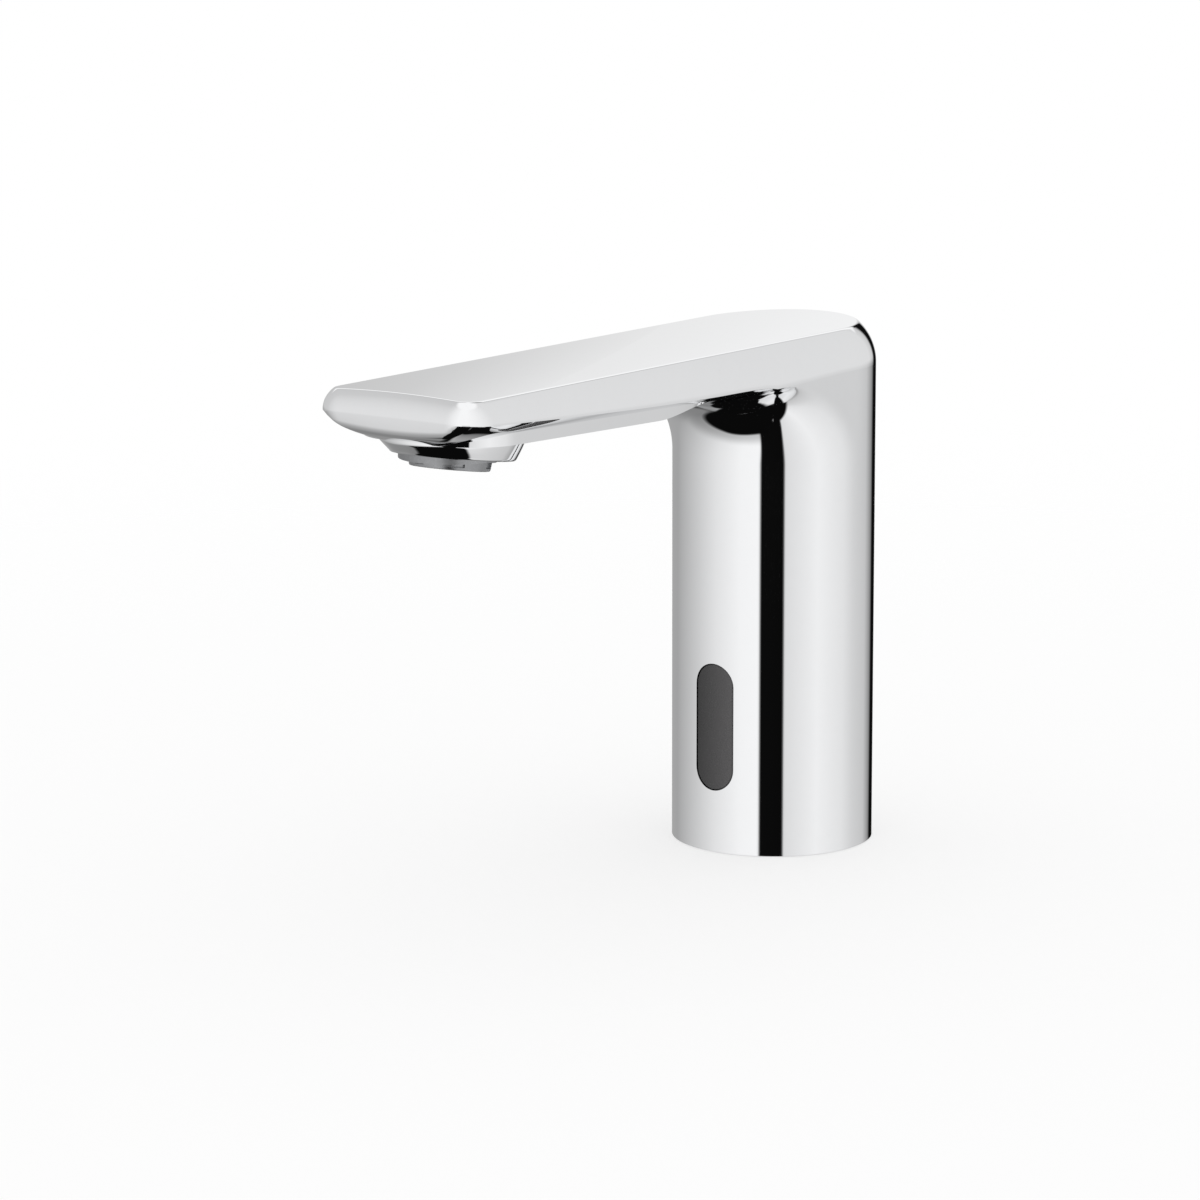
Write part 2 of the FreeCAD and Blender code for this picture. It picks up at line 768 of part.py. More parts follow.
def spout_underside(body):
    """The drawn-in hull under the facets, and the narrower belly below it."""
    hull_top = new_sketch(body, "hull_top", lift=UNDER_ROOT, tilt="0 - under_tilt")
    spout_outline(
        hull_top,
        "column_radius - lip_inset",
        "facet_tip_half_width - lip_inset",
        "top_reach + tip_draft - lip_inset",
        "top_corner + tip_draft",
    )
    levels = []
    for number, (drop, draw) in enumerate((("hull_drop", "0"), ("hull_drop + belly_drop", "belly_draw"))):
        sketch = new_sketch(
            body, f"belly_outline_{number}", lift=f"{UNDER_ROOT} - ({drop})", tilt="0 - under_tilt"
        )
        half = f"belly_half_width - {draw}"
        levels.append(spout_outline(sketch, half, half, f"belly_reach - {draw}", "belly_corner"))
    loft(body, (levels[1], levels[0], hull_top), "hull", ruled=True)


def outlet_boss(body):
    """The round boss under the tip that holds the outlet."""
    section = polygon(
        new_sketch(body, "boss_section", "XZ_Plane", lift="outlet_reach"),
        (
            ("0", "boss_rim_z"),
            ("boss_rim_radius - boss_rim_round", "boss_rim_z"),
            ("boss_rim_radius", "boss_rim_z + boss_rim_round", "boss_bow_radius", 1),
            ("boss_radius", "boss_rim_z + boss_depth"),
            ("boss_radius", f"{UNDER_AT_OUTLET} + boss_root"),
            ("0", f"{UNDER_AT_OUTLET} + boss_root"),
        ),
    )
    turning = body.newObject("PartDesign::Revolution", "outlet_boss")
    turning.Profile = section
    turning.ReferenceAxis = (section, ["V_Axis"])
    turning.Angle = 360
    turning.Refine = False
    body.Tip = turning


def crowned_top(body):
    """The top face falls away a little towards both long edges."""
    sketch = new_sketch(body, "crown_section", "XZ_Plane", lift="0", tilt="0 - top_tilt")
    half = "top_half_width + 10"
    radius = "(top_half_width * top_half_width + crown_rise * crown_rise) / (2 * crown_rise)"
    fall = f"(({half}) * ({half}) / (2 * ({radius})))"
    edge = f"top_edge_z + crown_rise - {fall}"
    polygon(
        sketch,
        (
            (half, edge, radius, 1),
            (f"0 - ({half})", edge),
            (f"0 - ({half})", "top_edge_z + 12"),
            (half, "top_edge_z + 12"),
        ),
    )
    cutter = pocket(body, sketch, "2 * top_reach + 60", "crown")
    cutter.Midplane = True


def waterway(body):
    """The column's bore, the hollow of the spout and the outlet's bore."""
    bore = disc(new_sketch(body, "bore_round"), BORE)
    pocket(body, bore, "bore_top_z", "bore", backwards=True)
    hollow = new_sketch(body, "hollow_outline", lift=f"{UNDER_ROOT} - {CAVITY_DROP}", tilt="0 - under_tilt")
    spout_outline(
        hollow,
        "cavity_half_width",
        "cavity_half_width",
        "belly_reach - cavity_end_wall",
        "cavity_corner",
    )
    pocket(body, hollow, "cavity_height", "spout_hollow", backwards=True)
    outlet = disc(
        new_sketch(body, "outlet_round", lift="boss_rim_z - 1"), "outlet_bore_radius", "0", OUTLET_Y
    )
    pocket(body, outlet, f"{CAVITY_FLOOR} - boss_rim_z + 2", "outlet_bore", backwards=True)


def lugs(body):
    """Two screw lugs on the bore's wall for the base plate."""
    for side, sign in (("right", ""), ("left", "0 - ")):
        across = f"{sign}lug_pitch_radius"
        post = disc(new_sketch(body, f"lug_{side}", lift=f"{PLATE_TOP} + lug_gap"), "lug_radius", across)
        pad(body, post, "lug_height", f"lug_{side}_post")
        hole = disc(
            new_sketch(body, f"lug_{side}_hole", lift=f"{PLATE_TOP} - 1"),
            "lug_screw_radius + fit_gap",
            across,
        )
        pocket(body, hole, "lug_height - 1", f"lug_{side}_bore", backwards=True)


def window_opening(body):
    """The slot in the column's front for the sensor window."""
    slot = new_sketch(body, "window_slot", "XZ_Plane")
    slot_outline(slot, "window_width + 2 * window_gap", "window_height + 2 * window_gap", "window_mid_z")
    pocket(body, slot, "column_radius + 5", "window_slot_cut", backwards=True)


# ---------------------------------------------------------------- base and inlet

SIDES = (("right", ""), ("left", "0 - "))


def base_plate():
    """Brass plate screwed up into the column, with the inlet and stud threads and the valve's boss."""
    across = "base_recess + plate_thickness"
    solid = join(
        "plate_solid",
        rod("plate_disc", f"{BORE} - plate_gap", "plate_thickness", z="base_recess"),
        rod("plate_boss", "boss_outer", f"{BOSS_TOP} - base_recess", y="valve_forward", z="base_recess"),
    )
    tools = [
        rod("inlet_bore", "inlet_radius", "base_recess + inlet_depth", y="valve_forward"),
        rod("strainer_opening", "strainer_hole", STRAINER_LOW, y="valve_forward"),
        rod("cage_socket", "cage_radius + fit_gap", "boss_height + 1", y="valve_forward", z=STRAINER_LOW),
        groove("inlet_groove", "boss_outer", "valve_forward", INLET_SEAL_Z),
        rod("holder_screw_hole", "bonnet_screw_radius + fit_gap", across, y=HOLDER_Y),
        rod(
            "holder_head_hole", "bonnet_head_radius + fit_gap", "base_recess + screw_head_height", y=HOLDER_Y
        ),
    ]
    for side, sign in SIDES:
        lug_x = f"{sign}lug_pitch_radius"
        stud_x = f"{sign}stud_side"
        tools += [
            rod(f"plate_hole_{side}", "lug_screw_radius + fit_gap", across, x=lug_x),
            rod(
                f"plate_head_hole_{side}",
                "screw_head_radius + fit_gap",
                "base_recess + screw_head_height + fit_gap",
                x=lug_x,
            ),
            rod(
                f"stud_hole_{side}", "stud_radius", "base_recess + stud_depth", x=stud_x, y="0 - stud_forward"
            ),
        ]
    return part(cut("base_plate", solid, *tools), "base_plate")


def base_screws():
    """The two screws that hold the plate up against the column's lugs."""
    screws = [
        screw(
            f"base_screw_{side}",
            "lug_screw_radius",
            "base_recess",
            f"{PLATE_TOP} + lug_gap + lug_screw_reach",
            "screw_head_radius",
            "base_recess",
            "base_recess + screw_head_height",
            x=f"{sign}lug_pitch_radius",
        )
        for side, sign in SIDES
    ]
    return part(group("base_screws", *screws), "base_screws")


def deck_gasket():
    """Flat rubber ring that seals the tap to the deck."""
    return part(
        cut(
            "deck_gasket",
            rod("deck_seal_disc", "deck_seal_outer", "base_recess - fit_gap"),
            rod("deck_seal_hole", "deck_seal_inner", "base_recess"),
        ),
        "deck_gasket",
    )


def inlet_strainer():
    """Small sieve cup in the inlet, under the check valve."""
    outer = "cage_radius"
    inner = "cage_radius - cage_wall"
    low = f"{STRAINER_LOW} + fit_gap"
    high = f"{CAGE_LOW} - fit_gap"
    floor = f"{low} + strainer_floor"
    cup = turned(
        "strainer_cup",
        (("0", low), (outer, low), (outer, high), (inner, high), (inner, floor), ("0", floor)),
        y="valve_forward",
    )
    eyes = [rod("strainer_eye_mid", "strainer_eye", "strainer_height", y="valve_forward", z=STRAINER_LOW)]
    for step in range(6):
        turn_x = f"strainer_eye_pitch * cos({60 * step})"
        turn_y = f"valve_forward + strainer_eye_pitch * sin({60 * step})"
        eyes.append(
            rod(f"strainer_eye_{step}", "strainer_eye", "strainer_height", turn_x, turn_y, STRAINER_LOW)
        )
    return part(cut("inlet_strainer", cup, *eyes), "inlet_strainer")


def check_valve():
    """The check valve in the inlet: its cage, its sprung poppet and the spring between them."""
    outer = "cage_radius"
    inner = "(cage_radius - cage_wall)"
    low = f"({CAGE_LOW} + fit_gap)"
    floor = f"({CAGE_LOW} + cage_floor)"
    spider = f"({CAGE_TOP} - cage_floor)"
    cage = turned(
        "cage_shell",
        (
            ("cage_mouth", low),
            (outer, low),
            (outer, CAGE_TOP),
            ("stem_radius + stem_gap", CAGE_TOP),
            ("stem_radius + stem_gap", spider),
            (inner, spider),
            (inner, floor),
            ("cage_mouth", floor),
        ),
        y="valve_forward",
    )
    ports = [
        rod(
            f"cage_port_{step}",
            "cage_port",
            "cage_floor + 1",
            f"cage_port_pitch * cos({90 * step + 45})",
            f"valve_forward + cage_port_pitch * sin({90 * step + 45})",
            f"{spider} - 0.5",
        )
        for step in range(4)
    ]
    part(cut("check_valve_cage", cage, *ports), "check_valve_cage")

    poppet_low = f"({floor} + fit_gap)"
    poppet_top = f"({poppet_low} + poppet_thickness)"
    stem_top = f"({CAGE_TOP} - stem_short)"
    part(
        turned(
            "check_valve_poppet",
            (
                ("0", poppet_low),
                ("poppet_radius", poppet_low),
                ("poppet_radius", poppet_top),
                ("stem_radius", poppet_top),
                ("stem_radius", stem_top),
                ("0", stem_top),
            ),
            y="valve_forward",
        ),
        "check_valve_poppet",
    )
    part(
        coil_spring(
            "check_valve_spring",
            "stem_radius + valve_spring_clear",
            f"{poppet_top} + fit_gap",
            f"{spider} - fit_gap",
            5,
            "0",
            "valve_forward",
            "fine_wire",
        ),
        "check_valve_spring",
    )


# ---------------------------------------------------------------- main valve

CORNERS = (("a", "", ""), ("b", "0 - ", ""), ("c", "0 - ", "0 - "), ("d", "", "0 - "))


def valve_body():
    """Valve body on the inlet boss: piston chamber above, outlet turret behind."""
    across = "valve_radius"
    low_y = "valve_forward - valve_radius"
    high_y = "valve_forward + valve_radius"
    shell = join(
        "valve_shell",
        rod("valve_barrel", "valve_radius", f"{VALVE_TOP} - {VALVE_LOW}", y="valve_forward", z=VALVE_LOW),
        block(
            "valve_flange",
            (f"0 - {across}", low_y, f"{VALVE_TOP} - flange_thickness"),
            (across, high_y, VALVE_TOP),
        ),
        rod("turret", "turret_radius", f"{VALVE_TOP} - {CAGE_TOP}", y="turret_back", z=CAGE_TOP),
        block(
            "turret_web",
            ("0 - turret_neck", "valve_forward", CAGE_TOP),
            ("turret_neck", "turret_back", VALVE_TOP),
        ),
        rod(
            "turret_nipple", "tube_bore - fit_gap", "nipple_length + 1", y="turret_back", z=f"{VALVE_TOP} - 1"
        ),
    )
    chamber = cut(
        "chamber_space",
        rod("chamber", "chamber_radius", "chamber_depth + 1", y="valve_forward", z=CHAMBER_LOW),
        rod("seat_ring", "seat_radius", "seat_rise", y="valve_forward", z=CHAMBER_LOW),
    )
    tools = [
        rod(
            "skirt_bore", "boss_outer + fit_gap", "valve_skirt + 1.4", y="valve_forward", z=f"{VALVE_LOW} - 1"
        ),
        rod(
            "cage_bore",
            "cage_radius + 2 * fit_gap",
            f"{CAGE_CEILING} - {VALVE_LOW}",
            y="valve_forward",
            z=VALVE_LOW,
        ),
        chamber,
        rod("seat_drop", "seat_bore", f"{SEAT_Z} + 1 - {DUCT_Z}", y="valve_forward", z=DUCT_Z),
        rod(
            "riser",
            "riser_radius",
            f"{CHAMBER_LOW} - {CAGE_TOP} + 1",
            "riser_side",
            "valve_forward",
            CAGE_TOP,
        ),
        rod("duct", "duct_radius", "turret_back - valve_forward", y="valve_forward", z=DUCT_Z, turn=TO_Y),
        rod(
            "turret_bore",
            "nipple_bore",
            f"{VALVE_TOP} + nipple_length + 1 - {DUCT_Z}",
            y="turret_back",
            z=DUCT_Z,
        ),
    ]
    for corner, sign_x, sign_y in CORNERS:
        tools.append(
            rod(
                f"flange_hole_{corner}",
                "bonnet_screw_radius + fit_gap",
                "bonnet_screw_reach + screw_end_gap + 1",
                f"{sign_x}bonnet_screw_side",
                f"valve_forward + ({sign_y}bonnet_screw_side)",
                f"{VALVE_TOP} - bonnet_screw_reach - screw_end_gap",
            )
        )
    return part(cut("valve_body", shell, *tools), "valve_body")


def piston():
    """The piston that opens and shuts the flow, its rubber seal and its spring."""
    radius = "chamber_radius - piston_gap"
    solid = rod("piston_disc", radius, "piston_thickness", y="valve_forward", z=PISTON_LOW)
    recess_top = f"{SEAT_Z} + seal_disc_thickness + 2 * fit_gap"
    recess = rod(
        "seal_recess",
        "seal_disc_radius + fit_gap",
        f"{recess_top} - ({PISTON_LOW} - 1)",
        y="valve_forward",
        z=f"{PISTON_LOW} - 1",
    )
    bleed = rod(
        "bleed_hole",
        "bleed_radius",
        "piston_thickness + 2",
        "0 - bleed_side",
        "valve_forward",
        f"{PISTON_LOW} - 1",
    )
    part(cut("valve_piston", solid, recess, bleed), "valve_piston")
    part(
        rod(
            "piston_seal",
            "seal_disc_radius",
            "seal_disc_thickness",
            y="valve_forward",
            z=f"{SEAT_Z} + fit_gap",
        ),
        "piston_seal",
    )
    part(
        coil_spring(
            "piston_spring",
            "chamber_radius - piston_spring_inset",
            f"{PISTON_TOP} + fit_gap",
            f"{ROOF_LOW} - fit_gap",
            3,
            "0",
            "valve_forward",
            "spring_wire",
        ),
        "piston_spring",
    )


def valve_bonnet():
    """The valve's cover, with the pilot seat on its top."""
    solid = join(
        "bonnet_solid",
        block(
            "bonnet_block",
            ("0 - valve_radius", "valve_forward - valve_radius", f"{VALVE_TOP} + fit_gap"),
            ("valve_radius", "valve_forward + valve_radius", BONNET_TOP),
        ),
        rod("pilot_boss", "pilot_radius", "pilot_height + 1", y="valve_forward", z=f"{BONNET_TOP} - 1"),
    )
    tools = [
        rod(
            "bonnet_chamber",
            "chamber_radius",
            f"{ROOF_LOW} - {VALVE_TOP} + 1",
            y="valve_forward",
            z=f"{VALVE_TOP} - 1",
        ),
        rod(
            "pilot_hole",
            "bleed_radius",
            "bonnet_roof + pilot_height + 2",
            y="valve_forward",
            z=f"{ROOF_LOW} - 1",
        ),
        rod(
            "pilot_feed",
            "bleed_radius",
            "bonnet_roof + 2",
            "2 * pilot_radius",
            "valve_forward",
            f"{ROOF_LOW} - 1",
        ),
    ]
    screws = []
    for corner, sign_x, sign_y in CORNERS:
        x = f"{sign_x}bonnet_screw_side"
        y = f"valve_forward + ({sign_y}bonnet_screw_side)"
        tools.append(
            rod(
                f"bonnet_hole_{corner}",
                "bonnet_screw_radius + fit_gap",
                "bonnet_height + 2",
                x,
                y,
                f"{VALVE_TOP} - 1",
            ),
        )
        screws.append(
            screw(
                f"bonnet_screw_{corner}",
                "bonnet_screw_radius",
                f"{VALVE_TOP} - bonnet_screw_reach",
                BONNET_TOP,
                "bonnet_head_radius",
                BONNET_TOP,
                f"{BONNET_TOP} + bonnet_head_height",
                x,
                y,
            )
        )
    part(cut("valve_bonnet", solid, *tools), "valve_bonnet")
    part(group("bonnet_screws", *screws), "bonnet_screws")


def seals():
    """O-rings in the inlet, the outlet housing and the elbow."""
    part(o_ring("inlet_o_ring", "boss_outer + fit_gap", "valve_forward", INLET_SEAL_Z), "inlet_o_ring")
    part(
        o_ring("housing_o_ring", "outlet_bore_radius", OUTLET_Y, f"{HOUSING_TOP} - housing_web / 2"),
        "housing_o_ring",
    )
    part(
        o_ring("elbow_o_ring", "spigot_radius + fit_gap", OUTLET_Y, f"{HOUSING_TOP} - housing_web / 2"),
        "elbow_o_ring",
    )


# ---------------------------------------------------------------- solenoid


def solenoid():
    """The pilot solenoid: guide tube, plunger, spring, bobbin, winding, yoke and nut."""
    bore = "(plunger_radius + plunger_gap)"
    foot = f"{BONNET_TOP} + fit_gap"
    flange_top = f"{BONNET_TOP} + guide_flange"
    part(
        turned(
            "guide_tube",
            (
                (bore, foot),
                ("guide_flange_radius", foot),
                ("guide_flange_radius", flange_top),
                (GUIDE_RADIUS, flange_top),
                (GUIDE_RADIUS, GUIDE_TOP),
                ("0", GUIDE_TOP),
                ("0", CORE_LOW),
                (bore, CORE_LOW),
            ),
            y="valve_forward",
        ),
        "guide_tube",
    )
    pocket_low = f"({PLUNGER_TOP} - plunger_pocket_depth)"
    part(
        turned(
            "plunger",
            (
                ("0", PLUNGER_LOW),
                ("plunger_radius", PLUNGER_LOW),
                ("plunger_radius", PLUNGER_TOP),
                ("plunger_pocket_radius", PLUNGER_TOP),
                ("plunger_pocket_radius", pocket_low),
                ("0", pocket_low),
            ),
            y="valve_forward",
        ),
        "plunger",
    )
    part(
        coil_spring(
            "plunger_spring",
            "plunger_pocket_radius - plunger_spring_inset",
            f"{pocket_low} + fit_gap",
            f"{CORE_LOW} - fit_gap",
            6,
            "0",
            "valve_forward",
            "fine_wire",
        ),
        "plunger_spring",
    )
    hub_inner = f"({GUIDE_RADIUS} + fit_gap)"
    hub = f"({hub_inner} + bobbin_hub_wall)"
    low_flange = f"({COIL_LOW} + bobbin_flange)"
    top_flange = f"({COIL_TOP} - bobbin_flange)"
    part(
        turned(
            "coil_bobbin",
            (
                (hub_inner, COIL_LOW),
                ("bobbin_flange_radius", COIL_LOW),
                ("bobbin_flange_radius", low_flange),
                (hub, low_flange),
                (hub, top_flange),
                ("bobbin_flange_radius", top_flange),
                ("bobbin_flange_radius", COIL_TOP),
                (hub_inner, COIL_TOP),
            ),
            y="valve_forward",
        ),
        "coil_bobbin",
    )
    wire_low = f"({low_flange} + fit_gap)"
    wire_high = f"({top_flange} - fit_gap)"
    part(
        turned(
            "coil_winding",
            (
                (f"{hub} + fit_gap", wire_low),
                ("coil_radius", wire_low),
                ("coil_radius", wire_high),
                (f"{hub} + fit_gap", wire_high),
            ),
            y="valve_forward",
        ),
        "coil_winding",
    )
    coil_yoke()
    nut = hexagon("nut_blank", "nut_radius", "nut_height", y="valve_forward", z=f"{YOKE_TOP} + fit_gap")
    thread = rod("nut_thread", hub_inner, "nut_height + 2", y="valve_forward", z=f"{YOKE_TOP} - 1")
    part(cut("coil_nut", nut, thread), "coil_nut")


def coil_yoke():
    """The steel frame round the coil."""
    low_y = "valve_forward - yoke_half_depth"
    high_y = "valve_forward + yoke_half_depth"
    inner = "(yoke_half_width - yoke_plate)"
    frame = cut(
        "yoke_frame",
        block("yoke_block", ("0 - yoke_half_width", low_y, YOKE_LOW), ("yoke_half_width", high_y, YOKE_TOP)),
        block(
            "yoke_window",
            (f"0 - {inner}", f"{low_y} - 1", f"{YOKE_LOW} + yoke_plate"),
            (inner, f"{high_y} + 1", f"{YOKE_TOP} - yoke_plate"),
        ),
    )
    hole = rod(
        "yoke_hole",
        f"{GUIDE_RADIUS} + fit_gap",
        f"{YOKE_TOP} - {YOKE_LOW} + 2",
        y="valve_forward",
        z=f"{YOKE_LOW} - 1",
    )
    return part(cut("coil_yoke", frame, hole), "coil_yoke")


# ---------------------------------------------------------------- battery


def battery_bounds(grow, low, high):
    """The corners of a box round the battery, grown sideways."""
    half_x = f"(battery_width / 2 + {grow})"
    half_y = f"(battery_depth / 2 + {grow})"
    return (
        (f"0 - {half_x}", f"valve_forward - {half_y}", low),
        (half_x, f"valve_forward + {half_y}", high),
    )


def battery_box():
    """The battery, the holder it stands in and the cover over it."""
    inside = "battery_gap"
    outside = "(battery_gap + battery_wall)"
    wall_top = f"({FLOOR_TOP} + battery_wall_height)"
    terminal = "(terminal_rise + terminal_sink)"
    part(
        join(
            "battery",
            block("battery_case", *battery_bounds("0", BATTERY_LOW, f"{BATTERY_TOP} - terminal_rise")),
            rod(
                "terminal_plus",
                "terminal_radius",
                terminal,
                "terminal_pitch / 2",
                "valve_forward",
                f"{BATTERY_TOP} - {terminal}",
            ),
            rod(
                "terminal_minus",
                "terminal_radius",
                terminal,
                "0 - terminal_pitch / 2",
                "valve_forward",
                f"{BATTERY_TOP} - {terminal}",
            ),
        ),
        "battery",
    )
    walls = cut(
        "holder_walls",
        block("holder_outside", *battery_bounds(outside, FLOOR_LOW, wall_top)),
        block("holder_inside", *battery_bounds(inside, FLOOR_TOP, f"{wall_top} + 1")),
    )
    legs = [
        rod(
            f"holder_leg_{side}",
            "battery_leg_radius",
            f"{FLOOR_LOW} - {LUG_TOP}",
            x=f"{sign}battery_leg_side",
            z=f"{LUG_TOP} + fit_gap",
        )
        for side, sign in SIDES
    ]
    solid = join(
        "holder_solid", walls, rod("holder_disc", "battery_disc_radius", "battery_floor", z=FLOOR_LOW), *legs
    )
    notch = "(tube_radius + tube_clear)"
    tube_notch = block(
        "tube_notch",
        (f"0 - {notch}", f"turret_back - {notch}", f"{FLOOR_LOW} - 1"),
        (notch, "battery_disc_radius + 1", f"{FLOOR_TOP} + 1"),
    )
    lead_hole = rod(
        "lead_hole",
        "lead_radius + tube_clear",
        "battery_floor + 2",
        "0 - lead_side",
        LEAD_Y,
        f"{FLOOR_LOW} - 1",
    )
    part(cut("battery_holder", solid, tube_notch, lead_hole), "battery_holder")
    cover_top = f"{BATTERY_TOP} + battery_gap + battery_wall"
    part(
        cut(
            "battery_cover",
            block("cover_outside", *battery_bounds(outside, f"{wall_top} + fit_gap", cover_top)),
            block("cover_inside", *battery_bounds(inside, f"{wall_top} - 1", f"{BATTERY_TOP} + battery_gap")),
        ),
        "battery_cover",
    )


# ---------------------------------------------------------------- window and sensor


def slot_bar(name, width, height, back):
    """An upright bar with round ends, from in front of the column back to a given depth."""
    arm = f"(({height}) - ({width})) / 2"
    front = "(column_radius + 2)"
    length = f"{front} - {back}"
    half = f"({width}) / 2"
    return join(
        name,
        rod(f"{name}_high", half, length, y=f"0 - {front}", z=f"window_mid_z + {arm}", turn=TO_Y),
        rod(f"{name}_low", half, length, y=f"0 - {front}", z=f"window_mid_z - {arm}", turn=TO_Y),
        block(
            f"{name}_mid",
            (f"0 - {half}", f"0 - {front}", f"window_mid_z - {arm}"),
            (half, f"0 - {back}", f"window_mid_z + {arm}"),
        ),
    )


def column_round(name, radius):
    """A bar on the column's axis that spans the window's height."""
    return rod(name, radius, "2 * window_height", z="window_mid_z - window_height")


def window():
    """The sensor window, flush with the column, and the gasket behind it."""
    wide = "window_width + 2 * window_flange"
    tall = "window_height + 2 * window_flange"
    seat = f"({BORE} - gasket_thickness - fit_gap)"
    plug = common(
        "window_plug",
        slot_bar("plug_bar", "window_width", "window_height", "window_back_y"),
        column_round("plug_round", "column_radius - window_recess"),
    )
    flange = common(
        "window_rim",
        slot_bar("flange_bar", wide, tall, "window_back_y"),
        column_round("flange_round", seat),
    )
    part(join("sensor_window", plug, flange), "sensor_window")
    frame = cut(
        "gasket_frame",
        slot_bar("gasket_outer", wide, tall, "window_back_y"),
        slot_bar(
            "gasket_inner",
            "window_width + 2 * window_gap",
            "window_height + 2 * window_gap",
            "window_back_y - 1",
        ),
    )
    sleeve = cut(
        "gasket_sleeve",
        column_round("gasket_outside", f"{BORE} - fit_gap / 2"),
        column_round("gasket_inside", f"{seat} + fit_gap / 2"),
    )
    part(common("window_gasket", frame, sleeve), "window_gasket")


def board_screw_heights():
    """The heights of the board's two screws."""
    return (("low", "board_low_z + board_screw_inset"), ("high", "board_top_z - board_screw_inset"))


def sensor_holder():
    """Plastic tray behind the window that carries the board and the two diodes."""
    floor = f"{PLATE_TOP} + fit_gap"
    inner = "(holder_half_width - holder_wall)"
    face_back = "holder_front_y - holder_wall"
    tray = cut(
        "tray",
        block(
            "tray_block",
            ("0 - holder_half_width", "0 - holder_front_y", floor),
            ("holder_half_width", "0 - holder_back_y", "holder_top_z"),
        ),
        block(
            "tray_space",
            (f"0 - {inner}", f"0 - ({face_back})", f"{PLATE_TOP} + holder_foot"),
            (inner, "0 - holder_back_y + 1", "holder_top_z + 1"),
        ),
    )
    board_front = "(board_back_y + board_thickness)"
    posts = [
        rod(
            f"board_post_{end}",
            "2 * board_screw_radius",
            f"{face_back} - {board_front} + post_sink - fit_gap",
            y=f"0 - ({face_back}) - post_sink",
            z=height,
            turn=TO_Y,
        )
        for end, height in board_screw_heights()
    ]
    tools = [
        rod(
            f"post_hole_{end}",
            "board_screw_radius + fit_gap",
            f"{face_back} - {board_front} + 1",
            y=f"0 - ({face_back})",
            z=height,
            turn=TO_Y,
        )
        for end, height in board_screw_heights()
    ]
    for end, sign in (("high", "+"), ("low", "-")):
        tools.append(
            rod(
                f"diode_hole_{end}",
                "diode_radius + fit_gap",
                "holder_wall + 2",
                y="0 - holder_front_y - 1",
                z=f"window_mid_z {sign} diode_pitch / 2",
                turn=TO_Y,
            )
        )
    tools.append(
        rod(
            "foot_hole",
            "bonnet_screw_radius + fit_gap",
            "holder_foot - foot_cover + 0.5",
            y=HOLDER_Y,
            z=f"{PLATE_TOP} - 0.5",
        ),
    )
    return part(cut("sensor_holder", join("tray_solid", tray, *posts), *tools), "sensor_holder")


def sensor_pieces():
    """The board, its two screws, the two diodes and the screw under the holder."""
    board_front = "(board_back_y + board_thickness)"
    board = join(
        "board_solid",
        block(
            "board_sheet",
            ("0 - board_half_width", f"0 - {board_front}", "board_low_z"),
            ("board_half_width", "0 - board_back_y", "board_top_z"),
        ),
        block(
            "board_chip",
            ("0 - chip_half_width", "0 - board_back_y", "window_mid_z - chip_height / 2"),
            ("chip_half_width", "0 - board_back_y + chip_thickness", "window_mid_z + chip_height / 2"),
        ),
    )
    holes = []
    screws = []
    for end, height in board_screw_heights():
        holes.append(
            rod(
                f"board_hole_{end}",
                "board_screw_radius + fit_gap",
                "board_thickness + 2",
                y=f"0 - {board_front} - 1",
                z=height,
                turn=TO_Y,
            )
        )
        shank_start = f"0 - {board_front} - board_screw_bite"
        shank = rod(
            f"board_screw_{end}_shank",
            "board_screw_radius",
            "board_screw_bite + board_thickness",
            y=shank_start,
            z=height,
            turn=TO_Y,
        )
        head = rod(
            f"board_screw_{end}_head",
            "2 * board_screw_radius",
            "chip_thickness",
            y="0 - board_back_y",
            z=height,
            turn=TO_Y,
        )
        screws.append(join(f"board_screw_{end}", shank, head))
    part(cut("sensor_board", board, *holes), "sensor_board")
    part(group("board_screws", *screws), "board_screws")
    for name, sign in (("ir_emitter", "+"), ("ir_receiver", "-")):
        part(
            rod(
                name,
                "diode_radius",
                f"holder_front_y - {board_front} - 2 * fit_gap",
                y="0 - holder_front_y + fit_gap",
                z=f"window_mid_z {sign} diode_pitch / 2",
                turn=TO_Y,
            ),
            name,
        )
    part(
        screw(
            "holder_screw",
            "bonnet_screw_radius",
            "base_recess",
            f"{PLATE_TOP} + holder_foot - 1",
            "bonnet_head_radius",
            "base_recess",
            "base_recess + screw_head_height - fit_gap",
            y=HOLDER_Y,
        ),
        "holder_screw",
    )


# ---------------------------------------------------------------- waterway to the outlet

BACK_BEND = Rotation(Vector(1, 1, 1), 120)
FRONT_BEND = Rotation(Vector(0, -1, 0), Vector(0, 0, 1), Vector(-1, 0, 0), "XYZ")
BEND_Y = "(turret_back - tube_bend)"
RUN_Y = f"({BEND_Y} + tube_bend * sin(under_tilt))"
RUN_Z = f"({CAVITY_MID} - {RUN_Y} * tan(under_tilt))"
BEND_Z = f"({RUN_Z} - tube_bend * cos(under_tilt))"
LEAD_Y = "(0 - board_back_y - board_thickness / 2)"


def bent_bar(name, radius, extra):
    """The water tube's path as a solid bar: up behind the works, round the bend and along the spout."""
    low = f"({VALVE_TOP} + tube_foot_gap - {extra})"
    run_end = "(outlet_reach - elbow_radius - tube_end_gap)"
    return join(
        name,
        rod(f"{name}_rise", radius, f"{BEND_Z} - {low}", y="turret_back", z=low),
        elbow_bend(f"{name}_bend", "90 - under_tilt", radius, "tube_bend", BACK_BEND, "0", BEND_Y, BEND_Z),
        rod(
            f"{name}_run",
            radius,
            f"({run_end} + {RUN_Y}) / cos(under_tilt) + {extra}",
            y=RUN_Y,
            z=RUN_Z,
            turn=Rotation(Vector(1, 0, 0), 90),
            angle="90 - under_tilt",
        ),
    )


